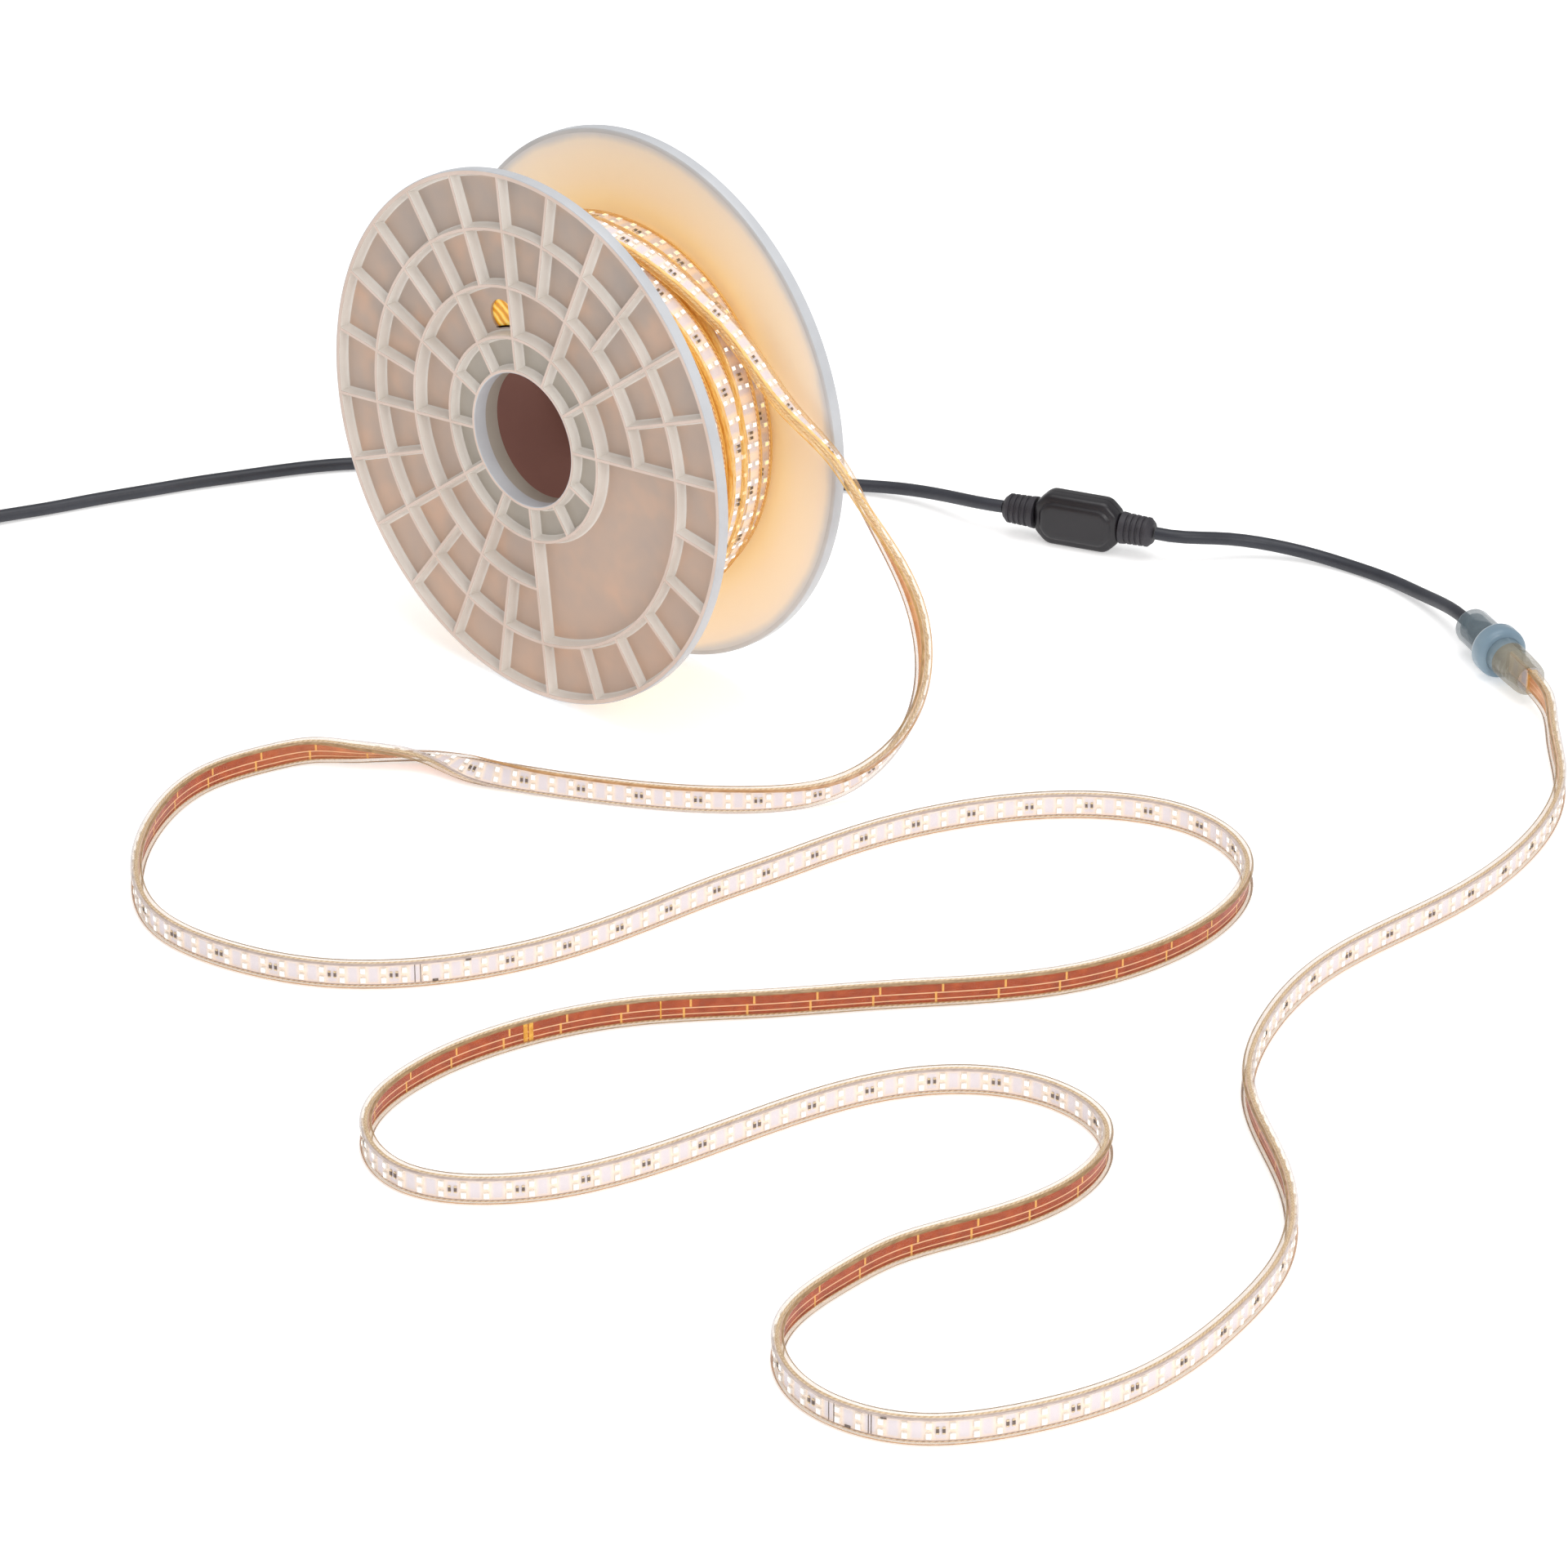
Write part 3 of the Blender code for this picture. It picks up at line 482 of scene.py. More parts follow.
# the amber pairs below are the painted light of the winding near the reel
J_SIDE = jacket("rope_jacket_side", lin(184, 158, 124), lin(228, 206, 174), 0.40, 0.03,
                amber=(lin(236, 176, 92), lin(255, 226, 160)))
J_EDGE = jacket("rope_jacket_edge", lin(172, 122, 72), lin(206, 158, 106), 0.82, 0.02,
                amber=(lin(240, 180, 84), lin(255, 222, 140)))
J_LIP = jacket("rope_jacket_lip", lin(176, 162, 160), lin(206, 192, 186), 0.62, 0.0,
               amber=(lin(232, 172, 84), lin(252, 216, 136)))
J_RIM = jacket("rope_jacket_back_edge", lin(140, 114, 80), lin(178, 146, 106), 0.88, 0.0,
               amber=(lin(232, 172, 84), lin(252, 216, 136)))
J_BACK = jacket("rope_jacket_back", lin(206, 150, 108), lin(238, 200, 160), 0.08, 0.0)
# painted light: warmer, more amber copies of the jacket for the turns on the reel, as lit by the winding around them
J_FACE_W = jacket("rope_jacket_face_wound", lin(255, 226, 164), lin(255, 244, 214), 0.08, 0.03)
J_SIDE_W = jacket("rope_jacket_side_wound", lin(230, 168, 66), lin(250, 214, 128), 0.74, 0.06)


def board_face(name, tint=(1, 1, 1), glow=0.35):
    """White printed board, with pale lavender solder mask and faint copper pads; painted light makes it brighter and
    warmer beside the lit chips, and glow adds a painted glow.
    """
    m = Mat(name, rough=0.45)
    sx = m.node("ShaderNodeSeparateXYZ")
    m.wire(m.tc.outputs["UV"], sx.inputs[0])
    cell = m.math('FRACT', m.math('DIVIDE', sx.outputs["X"], 0.011111))
    near = m.math('ABSOLUTE', m.math('SUBTRACT', cell, 0.5))

    def toned(r, g, b):
        return tuple(q * k for q, k in zip(lin(r, g, b), tint))
    # painted light of the LEDs: bright beside the chips, cool grey-lavender midway between them; warm along both long
    # edges
    along_ = m.ramp(near, [(0.14, toned(255, 234, 212)), (0.24, toned(242, 226, 216)), (0.34, toned(226, 217, 222))])
    off = m.math('ABSOLUTE', m.math('SUBTRACT', sx.outputs["Y"], 0.0058))
    edge = m.node("ShaderNodeMapRange", interpolation_type='SMOOTHSTEP')
    edge.inputs["From Min"].default_value = 0.0034
    edge.inputs["From Max"].default_value = 0.0054
    m.wire(off, edge.inputs["Value"])
    warm = m.mix(m.math('MULTIPLY', edge.outputs["Result"], 0.8), along_, toned(255, 232, 210))
    line = m.math('GREATER_THAN', off, 0.00548)
    warm = m.mix(line, warm, toned(176, 158, 162))
    n = m.noise(420.0, 3.0)
    m.base(m.mix(m.ramp(n, [(0.35, (0, 0, 0)), (0.7, (0.25, 0.25, 0.25))]), warm, toned(228, 222, 228)))
    # painted glow: the board's colour given off as light
    m.emit(warm, glow)
    m.bump(n, 0.00003, 0.3)
    return m.mat


M_BOARD = board_face("strip_board_face", glow=0.05)
# painted shade: a darker, warmer copy of the board for the turns lying under others
M_BOARD_WOUND = board_face("strip_board_face_wound", tint=(0.86, 0.76, 0.66), glow=0.02)


def copper_back(name):
    """Back of the board: wide copper tracks with thin gaps along and staggered gaps across."""
    m = Mat(name, rough=0.32, metal=0.35)
    sx = m.node("ShaderNodeSeparateXYZ")
    m.wire(m.tc.outputs["UV"], sx.inputs[0])
    s, v = sx.outputs["X"], sx.outputs["Y"]
    n = m.noise(150.0, 4.0)
    brick = m.ramp(n, [(0.3, lin(142, 48, 14)), (0.55, lin(164, 62, 20)), (0.75, lin(184, 80, 30))])
    pale = m.ramp(n, [(0.3, lin(222, 152, 98)), (0.7, lin(242, 186, 132))])
    # pale where the rise hangs in the light of the winding, and at the coupling's end
    f0 = m.node("ShaderNodeMapRange", interpolation_type='SMOOTHSTEP')
    f0.inputs["From Min"].default_value = 0.56
    f0.inputs["From Max"].default_value = 0.80
    f0.inputs["To Min"].default_value = 1.0
    f0.inputs["To Max"].default_value = 0.0
    m.wire(s, f0.inputs["Value"])
    f1 = m.node("ShaderNodeMapRange", interpolation_type='SMOOTHSTEP')
    f1.inputs["From Min"].default_value = 3.78
    f1.inputs["From Max"].default_value = 3.98
    m.wire(s, f1.inputs["Value"])
    base = m.mix(m.math('MAXIMUM', f0.outputs["Result"], m.math('MULTIPLY', f1.outputs["Result"], 0.75)), brick, pale)
    # two light lines along the strip and one gold gap a cutting length across
    w1 = m.math('LESS_THAN', m.math('ABSOLUTE', m.math('SUBTRACT', v, 0.0197)), 0.00030)
    w2 = m.math('LESS_THAN', m.math('ABSOLUTE', m.math('SUBTRACT', v, 0.0161)), 0.00028)
    w3 = m.math('GREATER_THAN', m.math('ABSOLUTE', m.math('SUBTRACT', v, 0.01965)), 0.00545)
    line = m.math('MAXIMUM', w1, w2)
    col = m.mix(m.math('MULTIPLY', line, 0.85), base, lin(246, 204, 160))
    col = m.mix(m.math('MULTIPLY', w3, 0.6), col, lin(232, 176, 116))
    row = m.math('GREATER_THAN', v, 0.0202)
    sh = m.math('ADD', m.math('DIVIDE', s, 0.033333), m.math('MULTIPLY', row, 0.11))
    g = m.math('LESS_THAN', m.math('FRACT', sh), 0.035)
    col = m.mix(m.math('MULTIPLY', g, 0.85), col, lin(240, 186, 96))
    m.base(col)
    # painted glow: a faint emission of the copper's own colour
    m.emit(col, 0.05)
    m.bump(n, 0.00004, 0.4)
    return m.mat


M_COPPER = copper_back("strip_copper_back")
M_BOARD_EDGE = plastic("strip_core_edge", lin(222, 202, 178), lin(246, 232, 214), 300.0)


def wire_mat(name, dark, light, glow=0.0):
    """Stranded conductor: diagonal strands; glow adds a painted glow of the strands' own colour."""
    m = Mat(name, rough=0.35, metal=0.2)
    sx = m.node("ShaderNodeSeparateXYZ")
    m.wire(m.tc.outputs["UV"], sx.inputs[0])
    ph = m.math('ADD', m.math('MULTIPLY', sx.outputs["X"], 2100.0), m.math('MULTIPLY', sx.outputs["Y"], 2600.0))
    w = m.math('SINE', ph)
    f = m.math('MULTIPLY_ADD', w, 0.35, 0.5)
    col = m.ramp(f, [(0.1, dark), (0.8, light)])
    m.base(col)
    if glow:
        m.emit(col, glow)
    m.bump(f, 0.0001, 0.5)
    return m.mat


M_WIRE = wire_mat("strip_stranded_wire", lin(198, 168, 130), lin(244, 222, 188), 0.08)
# painted light: the wound copy is amber with a stronger painted glow, as lit by the winding
M_WIRE_WOUND = wire_mat("strip_stranded_wire_wound", lin(208, 146, 66), lin(255, 224, 150), 0.28)


def led_mat(name, col, strength):
    m = Mat(name, rough=0.3)
    n = m.noise(900.0, 2.0)
    c = m.ramp(n, [(0.2, col), (0.9, tuple(min(1.0, x * 1.03) for x in col))])
    m.base(c)
    m.emit(c, strength)
    m.mat.cycles.emission_sampling = 'NONE'
    return m.mat


M_LED = led_mat("led_warm_white", (1.0, 0.96, 0.90), 1.05)
M_LED_WOUND = led_mat("led_warm_white_wound", (1.0, 0.95, 0.86), 1.15)
# painted shade: a dimmer, amber copy of the LEDs for the turns lying under others
M_LED_AMBER = led_mat("led_under_turns", lin(255, 234, 176), 0.5)
M_LED_BODY = plastic("led_body_ceramic", lin(236, 230, 224), lin(252, 248, 242), 300.0)
M_RES = plastic("resistor_body", lin(70, 52, 44), lin(108, 86, 74), 500.0, (0.4, 0.6))
M_PAD = plastic("solder_pad", lin(206, 178, 132), lin(240, 222, 188), 600.0, (0.2, 0.4), metal=0.5)

# ------------------------------------------------------------------ rope light: free run
LED_PITCH, MARK = 11.111, 33.333
pts, run = even(STRIP_ROUTE, 3.3)
centre = pts[:, :3]
tang = np.gradient(centre, axis=0)
tang /= np.linalg.norm(tang, axis=1)[:, None]
up = np.array([0, 0, 1.0]) - tang[:, 2:3] * tang
up /= np.linalg.norm(up, axis=1)[:, None]
left = np.cross(up, tang)
roll = np.radians(np.convolve(np.pad(pts[:, 3], 7, mode='edge'), np.ones(15) / 15, mode='valid'))[:, None]
free = Band(centre, np.cos(roll) * up + np.sin(roll) * left, run)

STRIP_W, STRIP_T = 15.0, 6.5
JACKET = round_box_section(STRIP_W, STRIP_T, 1.25, 3)
BOARD_W = 11.6


def board_section(y0, y1):
    h = BOARD_W / 2
    across = (h, h / 2, 0.0, -h / 2, -h)
    return [(x, y1) for x in across] + [(x, y0) for x in reversed(across)]


def strip_pieces(tag, band, mark_from, bm_, wm, lm, closed=False, led_h=1.3, end_gap=6.0, shift=None, splices=()):
    """Board, two stranded wires, LED pairs and resistor pairs along a band."""
    out = []
    line = band
    if shift:
        x = np.linspace(-40.0, band.s[-1] + 40.0, 2001)
        line = Band(band.c, band.n, np.interp(band.s, x + np.interp(x, *shift), x))
    ob = loft("board_" + tag, line, board_section(-1.1, 1.15), closed,
              mats=(M_COPPER, bm_, M_BOARD_EDGE), mat_of=lambda a: 1 if a < 4 else 0 if 4 < a < 9 else 2)
    out.append(link(ob))
    for i, x in enumerate((-6.55, 6.55)):
        ob = loft(f"wire_{i + 1}_" + tag, band, round_section(x, 0.1, 0.68, 6), closed, mats=(wm,))
        out.append(link(ob))
    places = []
    total = band.s[-1]

    def spot(x):
        return x + (np.interp(x, *shift) if shift else mark_from)
    k = 0
    while k * LED_PITCH < total + MARK:
        s = spot((k + 0.5) * LED_PITCH)
        k += 1
        if not end_gap < s < total - end_gap:
            continue
        c, t, n, w = band.at(s)
        for x in (-2.8, 2.8):
            places.append((c + w * x + n * (1.1 + led_h / 2), t, n, w, (2.8, led_h, 3.2), 0))
            places.append((c + w * x + n * (1.13 + led_h), t, n, w, (1.9, 0.14, 2.1), 1))
    k = 0
    while k * MARK < total + MARK:
        s = spot(k * MARK)
        k += 1
        if not end_gap < s < total - end_gap:
            continue
        if k - 1 in splices:
            for d, x in ((6.6, 4.9), (-11.3, -4.9)):
                c, t, n, w = band.at(s + d)
                places.append((c + w * x + n * 1.35, t, n, w, (3.0, 0.5, 1.3), 2))
            for d in (-22.0, -19.0) + ((-0.7, 0.7) if splices[k - 1] else ()):
                c, t, n, w = band.at(s + d)
                places.append((c + n * 1.2, t, n, w, (0.45, 0.2, 10.6), 2))
            continue
        c, t, n, w = band.at(s)
        for d in (-1.5, 1.5):
            places.append((c + t * d + n * 1.5, t, n, w, (1.4, 0.7, 2.2), 2))
            for e in (-1.5, 1.5):
                places.append((c + t * d + w * e + n * 1.47, t, n, w, (1.4, 0.6, 0.8), 3))
    ob = boxes("leds_" + tag, places, (M_LED_BODY, lm, M_RES, M_PAD))
    out.append(link(ob))
    return out


strip = link(loft("light_strip_jacket", free, JACKET, mats=(J_SIDE, J_FACE, J_BACK, J_EDGE, J_RIM, J_LIP), mat_of=lambda a: {3: 1, 11: 2, 7: 0, 15: 0}.get(a, 5 if a < 3 else 3 if a < 7 else 4)),
             ("light_strip", "light_strip_rise"))
# how far the cutting marks lie from even spacing, along the run
MARK_SHIFT = ((0, 600, 1032, 1065, 1098, 1132, 1172, 1198, 1400, 1600, 2330, 2500, 3060, 3324, 4052),
              (14, 13.5, 6.5, 6.3, 5.5, 4.5, 4.0, 0.2, 1.2, 2.7, -0.3, -0.7, 3.0, 0.5, 0.5))
inside = strip_pieces("free", free, 0.0, M_BOARD, M_WIRE, M_LED, shift=MARK_SHIFT, splices={35: False, 93: True})
# two soldered joints, seen from the back
joint = []
for x in (2080.2, 2151.4, 2154.6):
    c, t, n, w = free.at(x)
    joint.append((c + n * -1.15, t, n, w, (2.5 if x > 2100 else 0.8, 0.4, 10.6), 0))
M_SOLDER = plastic("solder_joint", lin(206, 136, 34), lin(240, 186, 76), 300.0, (0.25, 0.4), metal=0.5)
inside.append(link(boxes("solder_joints", joint, (M_SOLDER,))))

# ------------------------------------------------------------------ leads
M_LEAD = plastic("black_lead_sheath", lin(38, 40, 48), lin(50, 52, 61), 35.0, (0.38, 0.52), 0.00005)
M_RUB = plastic("strain_relief_rubber", lin(42, 40, 46), lin(55, 52, 58), 45.0, (0.5, 0.65), 0.0001)


def cable(name, points, diameter=CABLE_D, step=9.0):
    p, run_ = even(points, step)
    cu = bpy.data.curves.new(name, 'CURVE')
    cu.dimensions = '3D'
    cu.bevel_depth = diameter * MM / 2
    cu.bevel_resolution = 4
    cu.use_fill_caps = True
    cu.resolution_u = 2
    sp = cu.splines.new('POLY')
    sp.points.add(len(p) - 1)
    for q, x in zip(sp.points, p):
        q.co = (x[0] * MM, x[1] * MM, x[2] * MM, 1.0)
    sp.use_smooth = True
    cu.materials.append(M_LEAD)
    return bpy.data.objects.new(name, cu), run_[-1] * MM


lead, lead_len = cable("lead_cable_sheath", LEAD_ROUTE)
link(lead, ("lead_cable",))

# the rest of the mains cable in its coil: two turns below, then back out on top
COIL_R1, COIL_R2, COIL_Z1, COIL_Z2 = 45.0, 37.0, 1.8 + 3.95, 1.8 + 11.85
coil = []
TURNS, A0 = 3.35, -20.4
nstep = 74
for i in range(nstep + 1):
    q = i / nstep * TURNS
    a = math.radians(A0 - 360.0 * q)

    def blend(q0, q1):
        x = min(1.0, max(0.0, (q - q0) / (q1 - q0)))
        return x * x * (3 - 2 * x)
    r = COIL_R1 + (COIL_R2 - COIL_R1) * blend(0.80, 1.05) + (COIL_R1 - COIL_R2) * blend(2.45, 2.70)
    z = COIL_Z1 + (COIL_Z2 - COIL_Z1) * blend(1.62, 1.90)
    coil.append((COIL_C[0] + r * math.cos(a), COIL_C[1] + r * math.sin(a), z))
mains, mains_len = cable("mains_cable_sheath", MAINS_ROUTE[:-1] + tuple(coil) + TAIL_ROUTE[1:])
link(mains, ("mains_cable", "mains_cable_coil", "mains_cable_tail"))

# ------------------------------------------------------------------ coupling
def clear_plastic(name, dark, light, alpha, rough=0.16, cloud=30.0):
    m = Mat(name, rough=rough, IOR=1.46, Alpha=alpha)
    m.base(m.ramp(m.noise(cloud, 3.0), [(0.3, dark), (0.7, light)]))
    m.bump(m.noise(260.0, 3.0), 0.00005, 0.3)
    return m.mat


M_HOUSE = clear_plastic("clear_housing", lin(80, 98, 108), lin(122, 136, 144), 0.54)
M_NUT = clear_plastic("blue_grey_nut", lin(118, 142, 160), lin(140, 162, 176), 0.90, 0.28)
M_BOOT = clear_plastic("clear_boot", lin(146, 138, 118), lin(182, 174, 152), 0.44)
M_BOOT_ROOT = clear_plastic("clear_boot_root", lin(130, 154, 170), lin(152, 172, 182), 0.60)
M_DARK = plastic("contact_carrier_black", lin(44, 44, 50), lin(60, 60, 66), 90.0)
M_SOCK = plastic("socket_block_blue_grey", lin(146, 168, 184), lin(172, 190, 200), 60.0)
M_WASH = plastic("washer_silicone", lin(206, 204, 198), lin(226, 224, 218), 90.0, (0.55, 0.7))
M_BRASS = plastic("contact_brass", lin(204, 168, 96), lin(226, 196, 132), 200.0, (0.2, 0.35), metal=1.0)
CA, CT = COUPLING_AT, COUPLING_TURN

boot_ribs = []
for k in range(4):
    s0 = 43.0 - 4.4 * k
    r0 = 10.1 + 0.16 * k
    boot_ribs += [(r0, s0), (r0 + 0.35, s0 - 0.5), (r0 + 0.4, s0 - 2.2), (r0 + 0.1, s0 - 2.8)]
boot = link(turned("strip_boot_shell", [(7.8, 46.3), (9.5, 46.0), (10.0, 45.2)] + boot_ribs +
                   [(11.0, 24.0), (11.1, 19.0), (11.2, 14.0), (11.2, 7.1), (8.7, 7.1), (8.7, 31.0), (7.8, 33.0)],
                   (M_BOOT, M_BOOT_ROOT), on_axis(CA, CT), 64, mat_of=lambda p: 1 if p in (20, 21, 22) else 0),
            ("strip_boot",))
nut_prof = [(11.3, 11.9), (12.6, 11.7), (13.4, 11.4), (14.4, 10.8), (15.2, 9.4), (15.5, 7.6), (15.5, 1.3), (15.2, 0.5), (14.5, 0.05),
            (11.5, 0.0), (11.3, 9.8)]
# painted highlight: the rounded rear edge of the blue-grey nut painted near-white
M_NUT_EDGE_HIGHLIGHT = clear_plastic("nut_rear_edge_painted_highlight", lin(214, 224, 230), lin(238, 242, 246), 0.92, 0.2)
nut = link(turned("coupling_nut_shell", nut_prof, (M_NUT, M_NUT_EDGE_HIGHLIGHT), on_axis(CA, CT), 96, mat_of=lambda p: 1 if p in (6, 7, 8) else 0),
           ("coupling_nut",))
house = link(turned("cable_side_housing_shell", [(11.15, 5.0), (11.15, -1.5), (10.9, -2.0), (10.9, -4.6), (11.15, -5.2), (11.15, -28.6),
                                                 (10.7, -30.8), (9.6, -32.4), (8.0, -33.1), (4.1, -33.1), (4.1, -29.0), (8.6, -29.0),
                                                 (8.6, 5.0)], M_HOUSE, on_axis(CA, CT), 72),
             ("cable_side_housing",))
carrier = link(turned("contact_carrier_body", [(0.0, 4.4), (7.6, 4.4), (8.2, 3.8), (8.3, 2.0), (8.3, -6.0), (7.2, -7.0), (7.2, -12.0),
                                               (8.3, -13.0), (8.3, -18.0), (6.2, -20.0), (6.2, -24.0), (4.4, -28.5), (0.0, -28.5)],
                      M_DARK, on_axis(CA, CT), 40, closed=False), ("contact_carrier",))
sock = link(turned("socket_block_body", [(0.0, 20.6), (6.4, 20.6), (7.8, 20.0), (8.3, 18.4), (8.3, 7.6), (8.0, 7.3), (5.2, 7.3), (5.2, 18.0), (0.0, 18.0)],
                   M_SOCK, on_axis(CA, CT), 40, closed=False), ("socket_block",))
wash = link(turned("sealing_washer_ring", [(10.9, 6.6), (10.7, 6.8), (9.1, 6.8), (8.9, 6.6), (8.9, 5.5), (9.1, 5.3), (10.7, 5.3), (10.9, 5.5)],
                   M_WASH, on_axis(CA, CT), 48), ("sealing_washer",))
# the strip's end, seen through the boot
axis_pts = np.array([tuple(on_axis(CA, CT, s=x).translation / MM) for x in np.linspace(46.0, 21.5, 8)])
side_n = np.array([Vector((math.sin(math.radians(CT)), -math.cos(math.radians(CT)), 0.0))] * 8)
tail_band = Band(axis_pts, side_n, free.s[-1] + np.linspace(0.0, 24.5, 8))
link(loft("strip_end_jacket", tail_band, round_box_section(STRIP_W - 0.6, STRIP_T - 0.4, 1.2, 2), mats=(J_BACK,)))
link(loft("strip_end_board", tail_band, board_section(-1.1, 1.15), mats=(M_COPPER, M_BOARD), mat_of=lambda a: 1 if a < 4 else 0))
for i, x in enumerate((-6.3, 6.3)):
    link(loft(f"strip_end_wire_{i + 1}", tail_band, round_section(x, 0.0, 0.7, 6), mats=(M_WIRE,)))
pins = []
for i, side in enumerate((2.6, -2.6)):
    pins.append(link(turned(f"contact_pin_{i + 1}_rod", [(0.0, 16.0), (0.6, 16.0), (0.9, 15.6), (1.0, 15.0), (1.0, 4.8), (0.0, 4.8)],
                            M_BRASS, on_axis(CA, CT, side=side), 20, closed=False), (f"contact_pin_{i + 1}",)))

# ------------------------------------------------------------------ rectifier
M_CASE = plastic("rectifier_case", lin(24, 22, 27), lin(34, 31, 36), 26.0, (0.30, 0.44), 0.00008)
M_PCB = plastic("rectifier_pcb", lin(40, 92, 52), lin(58, 116, 70), 120.0)
M_CHIP = plastic("bridge_epoxy", lin(36, 36, 38), lin(48, 48, 50), 200.0, (0.5, 0.7))
RA, RT = RECT_AT, RECT_TURN


def pillow_half(name, sign):
    """Half of the case: an eight-sided outline whose outer face rises to a rounded plateau."""
    hx, hz, ch = 27.4, 16.5, 8.2
    steps = [(0.0, 0.15, 1.0), (0.0, 4.0, 1.0), (0.35, 5.6, 1.0), (1.2, 6.8, 1.0), (2.5, 7.5, 1.0), (3.9, 7.75, 1.0),
             (4.5, 8.0, 1.0), (5.1, 9.0, 1.0), (6.2, 9.7, 1.0), (8.0, 9.96, 1.0), (10.0, 9.98, 1.0)]

    def outline(inset):
        a, b = hx - inset, hz - inset
        c = ch - inset * 0.58
        # the ends and the long sides run straight between the rounded corners
        raw = [(a, -b + c), (a, b - c), (a - c, b), (-a + c, b), (-a, b - c), (-a, -b + c), (-a + c, -b), (a - c, -b)]
        out = []
        for i in range(8):
            p, q, r_ = Vector(raw[i - 1]), Vector(raw[i]), Vector(raw[(i + 1) % 8])
            d0, d1 = (p - q).normalized(), (r_ - q).normalized()
            cut = min(3.4, (p - q).length * 0.45, (r_ - q).length * 0.45)
            a0, a1 = q + d0 * cut, q + d1 * cut
            for k in range(5):
                t = k / 4
                out.append((1 - t) ** 2 * a0 + 2 * t * (1 - t) * q + t * t * a1)
        return out
    verts, faces = [], []
    for inset, y, _ in steps:
        for p in outline(inset):
            verts.append((p.x * MM, sign * y * MM, p.y * MM))
    k = 40
    for i in range(len(steps) - 1):
        for a in range(k):
            b = (a + 1) % k
            faces.append((i * k + a, i * k + b, (i + 1) * k + b, (i + 1) * k + a))
    faces.append(tuple((len(steps) - 1) * k + a for a in range(k)))
    # inner lip and hollow
    inner = [(3.0, 0.15), (3.4, 6.0)]
    base = len(verts)
    for inset, y in inner:
        for p in outline(inset):
            verts.append((p.x * MM, sign * y * MM, p.y * MM))
    for a in range(k):
        b = (a + 1) % k
        faces.append((a, b, base + b, base + a))
        faces.append((base + a, base + b, base + k + b, base + k + a))
    faces.append(tuple(base + k + a for a in range(k)))
    me = bpy.data.meshes.new(name)
    me.from_pydata(verts, [], faces)
    me.materials.append(M_CASE)
    bm = bmesh.new()
    bm.from_mesh(me)
    bmesh.ops.recalc_face_normals(bm, faces=bm.faces)
    bm.to_mesh(me)
    bm.free()
    me.shade_smooth()
    me.set_sharp_from_angle(angle=math.radians(60))
    ob = bpy.data.objects.new(name, me)
    ob.matrix_world = along(RA, RT, (20.4 + 75.8) / 2)
    return ob


case_f = link(pillow_half("rectifier_half_front", -1), ("rectifier_case_front",))
case_b = link(pillow_half("rectifier_half_back", 1), ("rectifier_case_back",))
for node, m in (("rectifier_board", M_PCB), ("bridge_rectifier", M_CHIP)):
    ob = frame["nodes"][node]
    ob.data.materials.clear()
    ob.data.materials.append(m)

rel = [(0.0, 0.0), (5.6, 0.0), (6.6, 0.35), (8.6, 2.6)]
for k in range(4):
    z = 3.0 + 3.5 * k
    r0 = 9.0 + 0.12 * k
    rel += [(r0, z), (r0 + 0.1, z + 1.5), (r0 - 0.75, z + 1.9), (r0 - 0.75, z + 2.9), (r0 + 0.1, z + 3.3)]
rel += [(9.7, 18.0), (9.9, 20.3), (0.0, 20.3)]
relief_l = link(turned("strain_relief_left_body", rel, M_RUB, on_axis(RA, RT), 56, closed=False), ("strain_relief_left",))
relief_r = link(turned("strain_relief_right_body", [(r, -z) for r, z in rel], M_RUB, on_axis(RA, RT, RECT_LEN), 56, closed=False),
                ("strain_relief_right",))

# ------------------------------------------------------------------ coil tie and plug
M_TIE = plastic("tie_nylon", lin(40, 40, 42), lin(56, 56, 58), 80.0)
M_PLUG = plastic("plug_pvc", lin(48, 47, 52), lin(62, 61, 66), 40.0, (0.4, 0.55), 0.0001)
M_PRONG = plastic("plug_nickel", lin(196, 198, 204), lin(222, 223, 228), 120.0, (0.16, 0.28), 0.00002, metal=1.0)
for node, m in (("coil_tie", M_TIE), ("plug_pin_1", M_PRONG), ("plug_pin_2", M_PRONG)):
    ob = frame["nodes"][node]
    ob.data.materials.clear()
    ob.data.materials.append(m)


